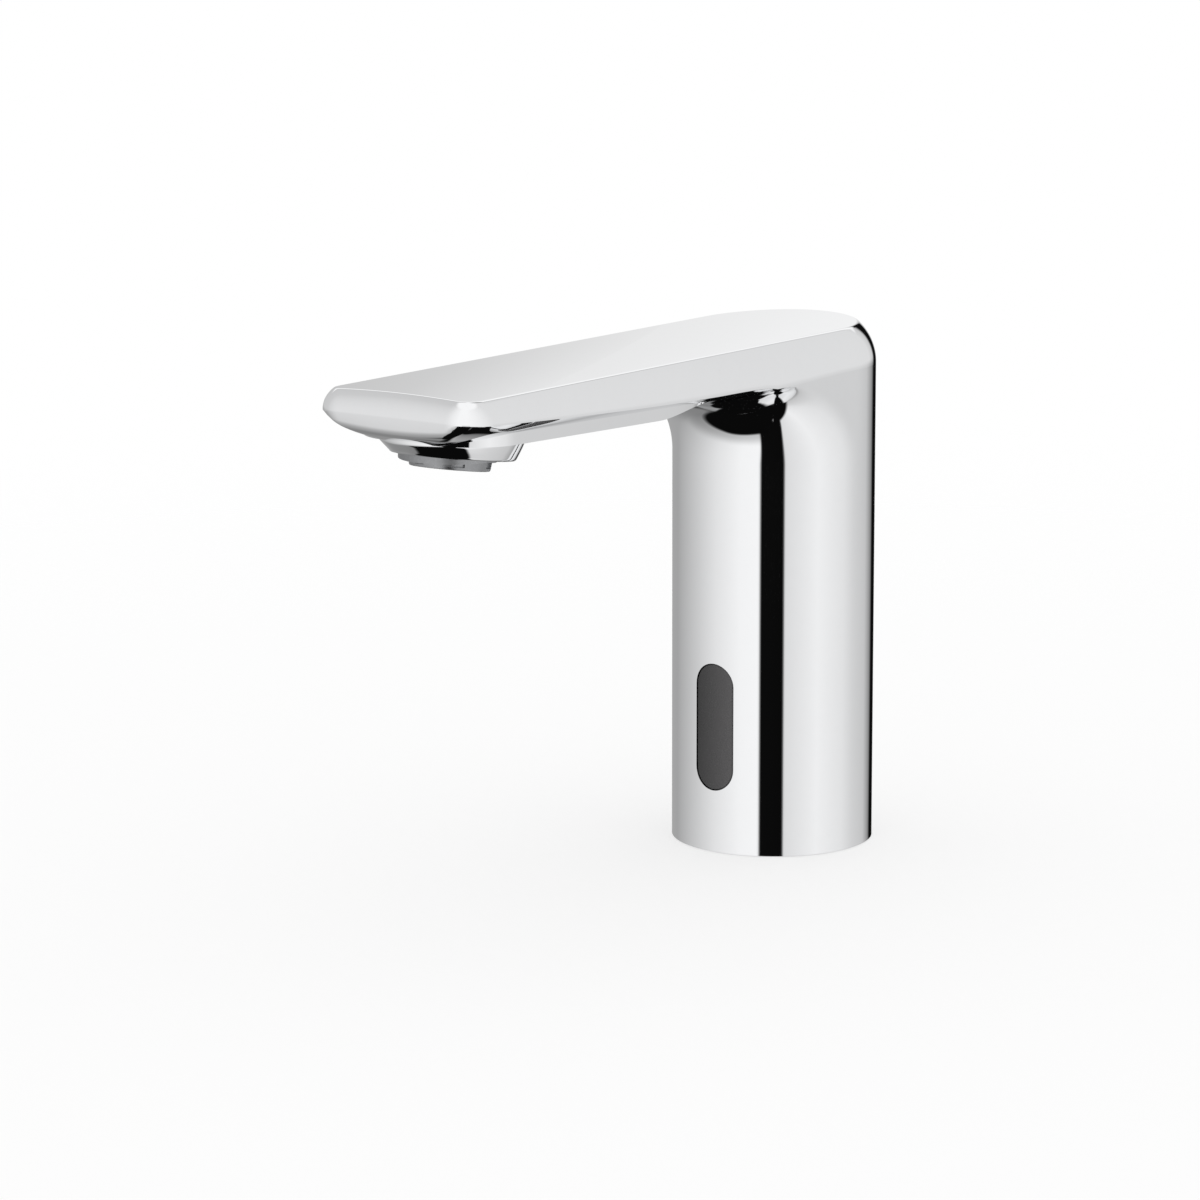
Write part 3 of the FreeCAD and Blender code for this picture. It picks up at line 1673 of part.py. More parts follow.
def water_tube():
    """The tube from the valve to the outlet elbow."""
    return part(
        cut(
            "water_tube",
            bent_bar("tube_outside", "tube_radius", "0"),
            bent_bar("tube_inside", "tube_bore", "1"),
        ),
        "water_tube",
    )


def outlet_elbow():
    """The elbow that turns the water down into the outlet housing."""
    base = f"({HOUSING_TOP} + fit_gap)"
    entry_z = f"({CAVITY_MID} + outlet_reach * tan(under_tilt))"
    down = Rotation(Vector(-1, 0, 0), 90)
    reach = "(elbow_radius + nipple_length)"
    solid = join(
        "elbow_solid",
        rod("elbow_drum", "elbow_radius", "elbow_height", y=OUTLET_Y, z=base),
        rod("elbow_spigot", "spigot_radius", "spigot_depth + 1", y=OUTLET_Y, z=f"{base} - spigot_depth"),
        rod(
            "elbow_nipple",
            "tube_bore - fit_gap",
            reach,
            y=OUTLET_Y,
            z=entry_z,
            turn=down,
            angle="90 + under_tilt",
        ),
    )
    drop = rod(
        "elbow_drop",
        "elbow_drop_radius",
        f"{entry_z} - {base} + spigot_depth + 2",
        y=OUTLET_Y,
        z=f"{base} - spigot_depth - 1",
    )
    entry = rod(
        "elbow_entry",
        "nipple_bore",
        f"{reach} + 1",
        y=OUTLET_Y,
        z=entry_z,
        turn=down,
        angle="90 + under_tilt",
    )
    ring_groove = groove("elbow_groove", "spigot_radius", OUTLET_Y, f"{HOUSING_TOP} - housing_web / 2")
    return part(cut("outlet_elbow", solid, drop, entry, ring_groove), "outlet_elbow")


def aerator_housing():
    """The threaded housing in the boss: a ball seat below and a socket for the elbow above."""
    low = "(boss_rim_z + housing_inset)"
    web = f"({HOUSING_TOP} - housing_web)"
    seat = "(ball_radius + ball_gap)"
    outer = "(outlet_bore_radius - fit_gap)"
    mouth = f"sqrt({seat} * {seat} - ({BALL_Z} - {low}) * ({BALL_Z} - {low}))"
    upper = f"sqrt({seat} * {seat} - ({BALL_Z} - {web}) * ({BALL_Z} - {web}))"
    socket = "spigot_radius + fit_gap"
    shell = turned(
        "housing_shell",
        (
            (mouth, low),
            (outer, low),
            (outer, HOUSING_TOP),
            (socket, HOUSING_TOP),
            (socket, web),
            (upper, web, seat, -1),
        ),
        y=OUTLET_Y,
    )
    ring_groove = groove(
        "housing_groove", "outlet_bore_radius - fit_gap", OUTLET_Y, f"{HOUSING_TOP} - housing_web / 2"
    )
    return part(cut("aerator_housing", shell, ring_groove), "aerator_housing")


def on_ball(obj):
    """Set a piece made about the ball's centre into its place, leaning forward."""
    return place(
        obj, y=OUTLET_Y, z=BALL_Z, turn=Rotation(Vector(-1, 0, 0), value("outlet_tilt")), angle="outlet_tilt"
    )


def swivel_outlet():
    """The ball-shaped outlet ring that tilts in the housing."""
    face = "(0 - outlet_face_drop)"
    chamfer = f"({face} + outlet_face_chamfer)"
    top = "(0 - ball_top_drop)"
    face_radius = "sqrt(ball_radius * ball_radius - outlet_face_drop * outlet_face_drop)"
    chamfer_radius = f"sqrt(ball_radius * ball_radius - {chamfer} * {chamfer})"
    top_radius = f"sqrt(ball_radius * ball_radius - {top} * {top})"
    shell = turned(
        "outlet_shell",
        (
            ("jet_bore_radius", face),
            (f"{face_radius} - outlet_face_chamfer", face),
            (chamfer_radius, chamfer, "ball_radius", 1),
            (top_radius, top),
            ("jet_bore_radius", top),
        ),
    )
    notches = [
        block(
            f"key_notch_{number}",
            (f"0 - {half_x}", f"0 - {half_y}", f"{face} - 1"),
            (half_x, half_y, f"{face} + key_notch_depth"),
        )
        for number, (half_x, half_y) in enumerate(
            (("ball_radius", "key_notch_width / 2"), ("key_notch_width / 2", "ball_radius"))
        )
    ]
    return part(on_ball(cut("swivel_outlet", shell, *notches)), "swivel_outlet")


def aerator_pieces():
    """The screen in the outlet's mouth and the flow regulator above it."""
    radius = "(jet_bore_radius - fit_gap)"
    low = "(0 - outlet_face_drop + screen_inset)"
    rim = cut(
        "screen_rim_ring",
        rod("screen_outside", radius, "screen_thickness", z=low),
        rod("screen_inside", f"{radius} - screen_rim", "screen_thickness + 2", z=f"{low} - 1"),
    )
    bars = []
    for number in range(-2, 3):
        middle = f"{number} * screen_pitch"
        first = f"{middle} - screen_bar / 2"
        last = f"{middle} + screen_bar / 2"
        span = f"({radius} - screen_bar_inset)"
        high = f"{low} + screen_thickness"
        bars.append(block(f"screen_bar_x{number + 2}", (f"0 - {span}", first, low), (span, last, high)))
        bars.append(block(f"screen_bar_y{number + 2}", (first, f"0 - {span}", low), (last, span, high)))
    grid = common(
        "screen_grid",
        join("screen_bars", *bars),
        rod("grid_disc", f"{radius} - screen_grid_inset", "screen_thickness", z=low),
    )
    part(on_ball(join("aerator_screen", rim, grid)), "aerator_screen")

    base = f"({low} + screen_thickness + fit_gap)"
    disc_blank = rod("regulator_disc", radius, "regulator_thickness", z=base)
    holes = [
        rod(
            f"regulator_hole_{step}",
            "regulator_hole_radius",
            "regulator_thickness + 2",
            f"regulator_hole_pitch * cos({60 * step})",
            f"regulator_hole_pitch * sin({60 * step})",
            f"{base} - 1",
        )
        for step in range(6)
    ]
    part(on_ball(cut("flow_regulator", disc_blank, *holes)), "flow_regulator")


def lead(name, x, height, end):
    """A cable from the top of the board: up, round a bend and back to its end."""
    start = "(board_top_z + fit_gap)"
    return part(
        join(
            name,
            rod(f"{name}_rise", "lead_radius", f"{height} - lead_bend - {start}", x, LEAD_Y, start),
            elbow_bend(
                f"{name}_bend",
                "90",
                "lead_radius",
                "lead_bend",
                FRONT_BEND,
                x,
                f"{LEAD_Y} + lead_bend",
                f"{height} - lead_bend",
            ),
            rod(
                f"{name}_run",
                "lead_radius",
                f"{end} - ({LEAD_Y} + lead_bend)",
                x,
                f"{LEAD_Y} + lead_bend",
                height,
                turn=TO_Y,
            ),
        ),
        name,
    )


def leads():
    """The two cables of the sensor board."""
    inner = "(lead_side - lead_radius)"
    coil_face = f"(valve_forward - sqrt(coil_radius * coil_radius - {inner} * {inner}))"
    lead("coil_lead", "lead_side", f"({COIL_LOW} + coil_height / 2)", f"({coil_face} - fit_gap)")
    wall = "(valve_forward - battery_depth / 2 - battery_gap - battery_wall)"
    lead("battery_lead", "0 - lead_side", f"({FLOOR_TOP} + battery_lead_rise)", f"({wall} - fit_gap)")


# ---------------------------------------------------------------- build and write


def build():
    """Every sub-part, from the outside in."""
    body_casting()
    window()
    sensor_holder()
    sensor_pieces()
    base_plate()
    base_screws()
    deck_gasket()
    inlet_strainer()
    check_valve()
    valve_body()
    piston()
    valve_bonnet()
    solenoid()
    battery_box()
    water_tube()
    outlet_elbow()
    aerator_housing()
    seals()
    swivel_outlet()
    aerator_pieces()
    leads()


def faults():
    """Whatever is wrong with the built shapes."""
    found = []
    for item in DOC.Objects:
        if "Invalid" in item.State or "Error" in item.State:
            found.append(f"{item.Label}: {item.getStatusString()}")
    for obj in PARTS:
        shape = obj.Shape
        if shape.isNull() or not shape.isValid() or not shape.Solids or shape.Volume <= 0:
            found.append(f"{obj.Label}: bad shape")
    return found


def write():
    """One STEP file for each sub-part."""
    os.makedirs("parts", exist_ok=True)
    for obj in PARTS:
        obj.Shape.exportStep(os.path.join("parts", f"{obj.Label}.step"))


build()
DOC.recompute()
for obj in PARTS:
    print(obj.Label, len(obj.Shape.Solids), round(obj.Shape.Volume, 1))
problems = faults()
if problems:
    raise RuntimeError("; ".join(problems))
write()
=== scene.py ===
import logging
import math
from collections.abc import Iterator
from contextlib import contextmanager
from dataclasses import dataclass, field
from enum import Enum

import bmesh
import bpy
from mathutils import Matrix, Vector


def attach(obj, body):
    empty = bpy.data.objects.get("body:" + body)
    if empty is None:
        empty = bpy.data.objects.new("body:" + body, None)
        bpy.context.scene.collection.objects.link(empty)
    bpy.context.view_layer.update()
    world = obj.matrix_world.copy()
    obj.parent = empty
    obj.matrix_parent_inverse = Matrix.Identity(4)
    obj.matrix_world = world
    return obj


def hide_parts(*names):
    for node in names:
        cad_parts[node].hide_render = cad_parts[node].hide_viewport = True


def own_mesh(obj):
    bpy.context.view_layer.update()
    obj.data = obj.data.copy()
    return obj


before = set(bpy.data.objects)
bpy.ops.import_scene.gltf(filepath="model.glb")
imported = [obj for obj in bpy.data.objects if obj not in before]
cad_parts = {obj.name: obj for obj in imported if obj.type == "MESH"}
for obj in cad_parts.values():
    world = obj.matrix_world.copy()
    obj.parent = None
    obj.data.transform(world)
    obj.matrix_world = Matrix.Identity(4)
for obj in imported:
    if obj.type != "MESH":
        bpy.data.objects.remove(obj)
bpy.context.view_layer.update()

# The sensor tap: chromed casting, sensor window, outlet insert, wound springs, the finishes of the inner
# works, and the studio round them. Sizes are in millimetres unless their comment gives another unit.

LOG = logging.getLogger("sensor_tap")
MM = 0.001
MERGE = 1e-6  # metres under which two points become one
Point = tuple[float, float, float]
Colour = tuple[float, float, float, float]
Socket = bpy.types.NodeSocket
Inputs = dict[str | int, object]
RISE, FALL = (0.0, 1.0), (1.0, 0.0)
WHITE: Colour = (1.0, 1.0, 1.0, 1.0)


class Body(Enum):
    """The bodies that a new piece can ride on."""

    TAP = "tap"
    OUTLET = "outlet"


class Change(Enum):
    """How a value changes between two limits."""

    EVEN = "LINEAR"
    SOFT = "SMOOTHSTEP"


# ---------------------------------------------------------------- mesh helpers


def eased(share: float) -> float:
    """Keep a share between 0 and 1, with a soft start and end."""
    share = min(1.0, max(0.0, share))
    return share * share * (3 - 2 * share)


def deselect_all() -> None:
    """Leave nothing selected, so that the next operator acts only on its own piece."""
    if bpy.context.object and bpy.context.object.mode != "OBJECT":
        bpy.ops.object.mode_set(mode="OBJECT")
    bpy.ops.object.select_all(action="DESELECT")


def activate(piece: bpy.types.Object) -> None:
    """Make one piece the selected and active object.

    Args:
        piece: the object that the next operators act on.
    """
    deselect_all()
    piece.select_set(True)
    bpy.context.view_layer.objects.active = piece


@contextmanager
def editing(piece: bpy.types.Object, whole: bool) -> Iterator[None]:
    """Hold a piece in edit mode while its mesh is worked on.

    Args:
        piece: the piece to work on.
        whole: whether all of it starts selected, or nothing.

    Returns:
        The piece's time in edit mode, for a with block.
    """
    activate(piece)
    bpy.ops.object.mode_set(mode="EDIT")
    bpy.ops.mesh.select_all(action="SELECT" if whole else "DESELECT")
    yield
    bpy.ops.object.mode_set(mode="OBJECT")


def new_piece(
    name: str, points: list[Point], faces: list[tuple[int, ...]], edges: tuple[tuple[int, int], ...] = ()
) -> bpy.types.Object:
    """Make a piece from points in millimetres and what joins them.

    Args:
        name: the piece's name.
        points: its vertices, in the tap's frame.
        faces: vertex indices of each face.
        edges: vertex indices of each edge that no face has.

    Returns:
        The new object, at the origin and in metres.
    """
    mesh = bpy.data.meshes.new(name)
    mesh.from_pydata([tuple(c * MM for c in p) for p in points], edges, faces)
    mesh.validate()
    piece = bpy.data.objects.new(name, mesh)
    bpy.context.scene.collection.objects.link(piece)
    return piece


def apply_modifier(piece: bpy.types.Object, kind: str, **settings: object) -> None:
    """Add a modifier, set it and apply it.

    Args:
        piece: the piece to change.
        kind: the modifier's type.
        settings: its properties.
    """
    activate(piece)
    modifier = piece.modifiers.new(kind.lower(), kind)
    for key, setting in settings.items():
        setattr(modifier, key, setting)
    bpy.ops.object.modifier_apply(modifier=modifier.name)


def tidy_normals(piece: bpy.types.Object) -> None:
    """Merge doubled points and turn every face outwards.

    Args:
        piece: the piece to clean.
    """
    with editing(piece, whole=True):
        bpy.ops.mesh.remove_doubles(threshold=MERGE)
        bpy.ops.mesh.normals_make_consistent(inside=False)


def smooth(piece: bpy.types.Object, degrees: float) -> None:
    """Shade a piece smooth except at sharp edges, with large faces kept flat next to small ones.

    Args:
        piece: the piece to shade.
        degrees: the sharpest angle that is still shaded smooth.
    """
    activate(piece)
    bpy.ops.object.shade_smooth_by_angle(angle=math.radians(degrees))
    apply_modifier(piece, "WEIGHTED_NORMAL", mode="FACE_AREA", keep_sharp=True)


def spun(name: str, section: list[tuple[float, float]], y: float, steps: int) -> bpy.types.Object:
    """Turn a closed half section about an upright axis in the tap's middle plane.

    Args:
        name: the piece's name.
        section: radius and height of each corner, round the section.
        y: where the axis stands along the spout.
        steps: faces round the turn.

    Returns:
        The turned piece.
    """
    count = len(section)
    edges = tuple((i, (i + 1) % count) for i in range(count))
    piece = new_piece(name, [(r, y, h) for r, h in section], [], edges)
    with editing(piece, whole=True):
        bpy.ops.mesh.spin(steps=steps, angle=2 * math.pi, center=(0, y * MM, 0), axis=(0, 0, 1))
    tidy_normals(piece)
    return piece


# ---------------------------------------------------------------- finishes


def srgb(level: float) -> float:
    """Turn a screen level from 0 to 255 into linear light."""
    share = level / 255
    return share / 12.92 if share <= 0.04045 else ((share + 0.055) / 1.055) ** 2.4


@dataclass
class Wiring:
    """Adds nodes to one node tree and joins them.

    Attributes:
        tree: the node tree.
    """

    tree: bpy.types.NodeTree

    def fill(self, node: bpy.types.Node, values: Inputs) -> None:
        """Give a node's inputs what they hold.

        Args:
            node: the node.
            values: a number, a colour or another node's socket for each input, by its label or its place.
        """
        for label, value in values.items():
            if isinstance(value, Socket):
                self.tree.links.new(value, node.inputs[label])
            else:
                node.inputs[label].default_value = value

    def add(self, kind: str, values: Inputs | None = None, **settings: object) -> bpy.types.Node:
        """Add a node.

        Args:
            kind: the node's type.
            values: what its inputs hold, as fill takes them.
            settings: its properties.

        Returns:
            The new node.
        """
        node = self.tree.nodes.new(kind)
        for key, setting in settings.items():
            setattr(node, key, setting)
        self.fill(node, values or {})
        return node

    def step(self, operation: str, first: Socket, second: Socket | float) -> Socket:
        """One arithmetic step on two numbers."""
        return self.add("ShaderNodeMath", {0: first, 1: second}, operation=operation).outputs[0]

    def span(
        self, value: Socket, limits: tuple[float, float], ends: tuple[Socket | float, Socket | float],
        change: Change = Change.SOFT,
    ) -> Socket:
        """Map a value between two limits.

        Args:
            value: the value to map.
            limits: where the change starts and ends.
            ends: the result at each limit.
            change: how it changes between them.

        Returns:
            The result's socket.
        """
        labels = ("Value", "From Min", "From Max", "To Min", "To Max")
        values = dict(zip(labels, (value, *limits, *ends)))
        return self.add("ShaderNodeMapRange", values, interpolation_type=change.value).outputs["Result"]

    def blend(self, share: Socket, first: Socket | Colour, second: Socket | Colour) -> Socket:
        """Mix two colours, where the share says how much of the second shows."""
        values = {"Factor": share, "A": first, "B": second}
        return self.add("ShaderNodeMix", values, data_type="RGBA").outputs["Result"]

    def ramp(self, share: Socket, bands: tuple[tuple[float, float], ...]) -> Socket:
        """A ramp of greys for a whole turn.

        Args:
            share: position along the ramp, from 0 at -180 degrees to 1 at 180.
            bands: the angle in degrees and the screen level of each stop.

        Returns:
            The ramp's colour socket.
        """
        node = self.add("ShaderNodeValToRGB", {"Fac": share})
        elements = node.color_ramp.elements
        while len(elements) > 1:
            elements.remove(elements[-1])
        for number, (degrees, level) in enumerate(bands):
            position = (degrees + 180) / 360
            stop = elements.new(position) if number else elements[0]
            stop.position = position
            stop.color = (*(srgb(level),) * 3, 1)
        return node.outputs["Color"]


MOTTLE_LIMITS = (0.12, 0.42)  # the least and the most that two noises multiply to


def mottle_group() -> bpy.types.NodeTree:
    """Shared shader group: fine two-scale mottling of a roughness and a bump height.

    Returns:
        The node group, with inputs Fine, Coarse, Low and High, and outputs Level and Height.
    """
    name = "fine_mottle"
    if name in bpy.data.node_groups:
        return bpy.data.node_groups[name]
    group = bpy.data.node_groups.new(name, "ShaderNodeTree")
    for side, labels in (("INPUT", ("Fine", "Coarse", "Low", "High")), ("OUTPUT", ("Level", "Height"))):
        for label in labels:
            group.interface.new_socket(label, in_out=side, socket_type="NodeSocketFloat")
    wires = Wiring(group)
    entry = wires.add("NodeGroupInput").outputs
    where = wires.add("ShaderNodeTexCoord").outputs["Object"]
    fine, coarse = (
        wires.add("ShaderNodeTexNoise", {"Vector": where, "Scale": entry[label]}).outputs["Fac"]
        for label in ("Fine", "Coarse")
    )
    product = wires.step("MULTIPLY", fine, coarse)
    level = wires.span(product, MOTTLE_LIMITS, (entry["Low"], entry["High"]), Change.EVEN)
    wires.add("NodeGroupOutput", {"Level": level, "Height": fine})
    return group


@dataclass(frozen=True)
class Finish:
    """A surface finish: colour, sheen and the scale of its fine variation.

    Attributes:
        name: the material's name.
        color: base colour, linear.
        metallic: 1 for bare metal.
        rough: lowest and highest roughness over the surface.
        fine: scale of the fine grain, per metre.
        coarse: scale of the broad variation, per metre.
        bump: height of the grain.
        tint: how much the broad variation darkens the colour.
        coat: clear coat weight.
        across: where a painted sheen lightens the colour from left to right, if the finish has one. The sheen
            stands in for light that the surface catches on its right.
        painted_sheen_color: the colour that it then changes to, linear.
    """

    name: str
    color: tuple[float, float, float]
    metallic: float
    rough: tuple[float, float]
    fine: float
    coarse: float
    bump: float
    tint: float
    coat: float = 0.0
    across: tuple[float, float] | None = None
    painted_sheen_color: tuple[float, float, float] = (0.0, 0.0, 0.0)

    def material(self) -> bpy.types.Material:
        """Build the finish, unless it is built already.

        Returns:
            Its material.
        """
        if self.name in bpy.data.materials:
            return bpy.data.materials[self.name]
        made = bpy.data.materials.new(self.name)
        made.use_nodes = True
        wires = Wiring(made.node_tree)
        scales = {"Fine": self.fine, "Coarse": self.coarse, "Low": self.rough[0], "High": self.rough[1]}
        mottle = wires.add("ShaderNodeGroup", scales, node_tree=mottle_group()).outputs
        share = wires.span(mottle["Level"], self.rough, RISE, Change.EVEN)
        darker = (*(c * (1 - self.tint) for c in self.color), 1)
        colour = wires.blend(share, (*self.color, 1), darker)
        # Painted sheen: the colour lightens from left to right across the piece, in place of light caught by
        # the surface.
        if self.across:
            where = wires.add("ShaderNodeTexCoord").outputs["Object"]
            place = wires.add("ShaderNodeSeparateXYZ", {"Vector": where}).outputs["X"]
            left, right = (edge * MM for edge in self.across)
            share = wires.span(place, (left, right), RISE, Change.EVEN)
            colour = wires.blend(share, colour, (*self.painted_sheen_color, 1))
        values: Inputs = {"Metallic": self.metallic, "Coat Weight": self.coat}
        values |= {"Roughness": mottle["Level"], "Base Color": colour}
        if self.bump:
            grain = {"Distance": self.bump * MM, "Strength": 1.0, "Height": mottle["Height"]}
            values["Normal"] = wires.add("ShaderNodeBump", grain).outputs["Normal"]
        wires.fill(made.node_tree.nodes["Principled BSDF"], values)
        return made


CHROME = Finish("chrome_plate", (0.93, 0.935, 0.945), 1.0, (0.02, 0.035), 400.0, 25.0, 0.0, 0.01)
SATIN_CHROME = Finish("satin_insert", (0.36, 0.365, 0.375), 1.0, (0.26, 0.34), 1500.0, 90.0, 0.004, 0.1)
# The smoked lens, with a painted sheen that lightens it towards the right.
WINDOW = Finish(
    "window_smoke_painted_sheen", (0.02, 0.0195, 0.02), 0.0, (0.24, 0.3), 1800.0, 120.0, 0.001, 0.1,
    across=(-5.0, 5.2), painted_sheen_color=(0.075, 0.072, 0.074),
)
RUBBER = Finish("seal_rubber", (0.02, 0.02, 0.02), 0.0, (0.6, 0.75), 1400.0, 90.0, 0.01, 0.3)
BLACK_PLASTIC = Finish("holder_black", (0.035, 0.035, 0.038), 0.0, (0.38, 0.5), 1600.0, 110.0, 0.006, 0.2)
LAMINATE = Finish("board_green", (0.02, 0.13, 0.055), 0.0, (0.25, 0.35), 900.0, 60.0, 0.003, 0.25)
STEEL = Finish("bright_steel", (0.6, 0.6, 0.61), 1.0, (0.2, 0.32), 1300.0, 80.0, 0.002, 0.12)
BRASS = Finish("machined_brass", (0.72, 0.53, 0.24), 1.0, (0.18, 0.3), 1100.0, 70.0, 0.003, 0.15)
VALVE_PLASTIC = Finish("valve_acetal", (0.68, 0.68, 0.65), 0.0, (0.35, 0.45), 1300.0, 80.0, 0.003, 0.06)
SCREEN_PLASTIC = Finish("screen_white", (0.75, 0.76, 0.75), 0.0, (0.3, 0.4), 1500.0, 90.0, 0.002, 0.06)
DIODE = Finish("diode_resin", (0.03, 0.02, 0.05), 0.0, (0.05, 0.1), 700.0, 60.0, 0.0, 0.2, 0.5)
COPPER = Finish("wound_copper", (0.42, 0.13, 0.04), 0.3, (0.25, 0.4), 2600.0, 90.0, 0.03, 0.35, 0.3)
SLEEVE = Finish("battery_sleeve", (0.06, 0.08, 0.12), 0.0, (0.15, 0.25), 800.0, 50.0, 0.002, 0.15, 0.4)
TUBE = Finish("water_tube_pe", (0.74, 0.76, 0.75), 0.0, (0.25, 0.35), 900.0, 50.0, 0.003, 0.08)
SHEATH = Finish("lead_sheath", (0.03, 0.03, 0.03), 0.0, (0.45, 0.6), 1800.0, 90.0, 0.006, 0.25)

NODE_FINISH: dict[Finish, tuple[str, ...]] = {
    CHROME: ("body_casting",),
    SATIN_CHROME: ("aerator_housing", "swivel_outlet"),
    WINDOW: ("sensor_window",),
    RUBBER: ("window_gasket", "deck_gasket", "inlet_o_ring", "housing_o_ring", "elbow_o_ring", "piston_seal"),
    BLACK_PLASTIC: ("sensor_holder", "battery_holder", "battery_cover", "coil_bobbin"),
    LAMINATE: ("sensor_board",),
    STEEL: (
        "board_screws", "holder_screw", "base_screws", "bonnet_screws", "inlet_strainer", "guide_tube",
        "plunger", "coil_yoke", "coil_nut",
    ),
    BRASS: ("base_plate",),
    VALVE_PLASTIC: (
        "valve_body", "valve_bonnet", "check_valve_cage", "check_valve_poppet", "valve_piston",
        "outlet_elbow", "flow_regulator",
    ),
    SCREEN_PLASTIC: ("aerator_screen",),
    DIODE: ("ir_emitter", "ir_receiver"),
    COPPER: ("coil_winding",),
    SLEEVE: ("battery",),
    TUBE: ("water_tube",),
    SHEATH: ("coil_lead", "battery_lead"),
}


def dress(piece: bpy.types.Object, finish: Finish) -> None:
    """Give a piece one finish, in place of any that it has.

    Args:
        piece: the piece.
        finish: its finish.
    """
    piece.data.materials.clear()
    piece.data.materials.append(finish.material())


# ---------------------------------------------------------------- casting


LEAST_GAP = 1e-5  # a length that counts as nothing


@dataclass
class Casting:
    """The chromed body: column, flared root, drawn-in underside, facets and crowned top."""

    # column, bore and flare
    column: float = 25.0
    bore: float = 21.5
    bore_top: float = 100.0
    flare: float = 17.0
    # underside: its slope, the belly's flat and wall, and the keel that the root has instead
    under_tilt: float = math.tan(math.radians(1.24))
    under_root: float = 118.337
    hull_drop: float = 2.1
    belly_drop: float = 2.9
    belly_half: float = 20.4
    belly_draw: float = 0.5
    belly_reach: float = 140.5
    belly_corner: float = 13.0
    keel_start: float = 7.0
    keel_power: float = 1.7
    hull_power: float = 1.2
    rim_power: float = 6.0
    bow_share: float = 0.5
    # where the keel gives way to the flat
    step_start: float = 53.0
    step_full: float = 74.0
    # lip and facets' lower edge
    lip: float = 0.45
    edge_root: float = 119.0
    edge_climb: float = 0.004
    edge_climb_power: float = 1.5
    edge_climb_start: float = 55.0
    edge_dip: float = 0.9
    edge_dip_length: float = 4.5
    # tip and the roll under it
    tip_half: float = 23.4
    reach: float = 146.2
    corner: float = 7.2
    prow_slope: float = 0.4
    prow_corner_slope: float = 0.8
    prow_roll: float = 0.085
    # crowned top, facets' curve and rounded top edge
    top_half: float = 20.5
    top_reach: float = 143.3
    top_corner: float = 4.0
    top_edge: float = 128.6
    top_tilt: float = math.tan(math.radians(0.52))
    crown: float = 0.65
    facet_sine: float = 0.768
    round_start: float = 0.955
    round_inset: float = 0.45
    # gussets beside the flare
    gusset_bend: float = 6.0
    gusset_power: float = 1.6
    # rows of the mesh: heights up the column, and faces along each part
    levels: tuple[float, ...] = (*(3.0 * i for i in range(19)), 60.0, 70.0, 80.0, 90.0)
    back_steps: int = 56
    gusset_steps: int = 24
    side_steps: int = 56
    corner_steps: int = 12
    belly_steps: int = 22
    hull_steps: int = 8
    flare_steps: int = 30
    facet_steps: int = 16
    round_steps: int = 6
    points: list[Point] = field(default_factory=list)
    faces: list[tuple[int, ...]] = field(default_factory=list)

    @property
    def front_steps(self) -> int:
        """Faces across the tip, as many as across the belly."""
        return 2 * self.belly_steps

    @property
    def ring(self) -> float:
        """Radius of the flare's widest ring."""
        return self.column + self.flare

    @property
    def side_end(self) -> float:
        """Depth at which the facets' corner starts."""
        return self.reach - self.corner

    @property
    def corner_y(self) -> float:
        """How far forward the facets' lower edge starts."""
        return math.sqrt(self.ring**2 - self.column**2)

    # -- outlines and heights

    def edge_z(self, y: float) -> float:
        """Height of the facets' lower edge, which climbs to the tip and curls down at the root.

        Args:
            y: the depth, negative along the spout.

        Returns:
            The height.
        """
        dip = self.edge_dip * math.exp(-max(-y - self.corner_y, 0) / self.edge_dip_length)
        climb = self.edge_climb * max(0.0, -y - self.edge_climb_start) ** self.edge_climb_power
        return self.edge_root + climb - dip

    def belly_z(self, y: float) -> float:
        """Height of the belly's flat at a depth."""
        return self.under_root - self.hull_drop - self.belly_drop - y * self.under_tilt

    def stepped(self, y: float) -> float:
        """How far the belly's step is formed at a depth, from 0 at the root to 1."""
        return eased((-y - self.step_start) / (self.step_full - self.step_start))

    def keel_rise(self, half: float, y: float) -> float:
        """Height above the belly's flat of the smooth keel of the root, at a half width."""
        share = max(0.0, (half - self.keel_start) / (self.column - self.lip - self.keel_start))
        return (self.edge_z(y) - self.belly_z(y)) * share**self.keel_power

    def add(self, point: Point) -> int:
        """Keep a point and give its index."""
        self.points.append(point)
        return len(self.points) - 1

    def bridge(self, low: list[int], high: list[int], closed: bool) -> None:
        """Fill the strip between two rows of points.

        Args:
            low: the first row.
            high: the second row, of the same length.
            closed: whether the rows run all the way round.
        """
        count = len(low)
        for i in range(count if closed else count - 1):
            j = (i + 1) % count
            self.faces.append((low[i], low[j], high[j], high[i]))

    # -- lower half

    def under_marks(self) -> list[float]:
        """Where the long rows of the underside start on the flare's widest ring.

        Returns:
            Half widths, from the middle to the facets' edge.
        """
        flat = self.belly_half - self.belly_draw
        marks = [flat * i / self.belly_steps for i in range(self.belly_steps + 1)]
        inner = self.column - self.lip
        hull = inner - self.belly_half
        marks += [self.belly_half + hull * i / self.hull_steps for i in range(self.hull_steps + 1)]
        return marks + [self.column]

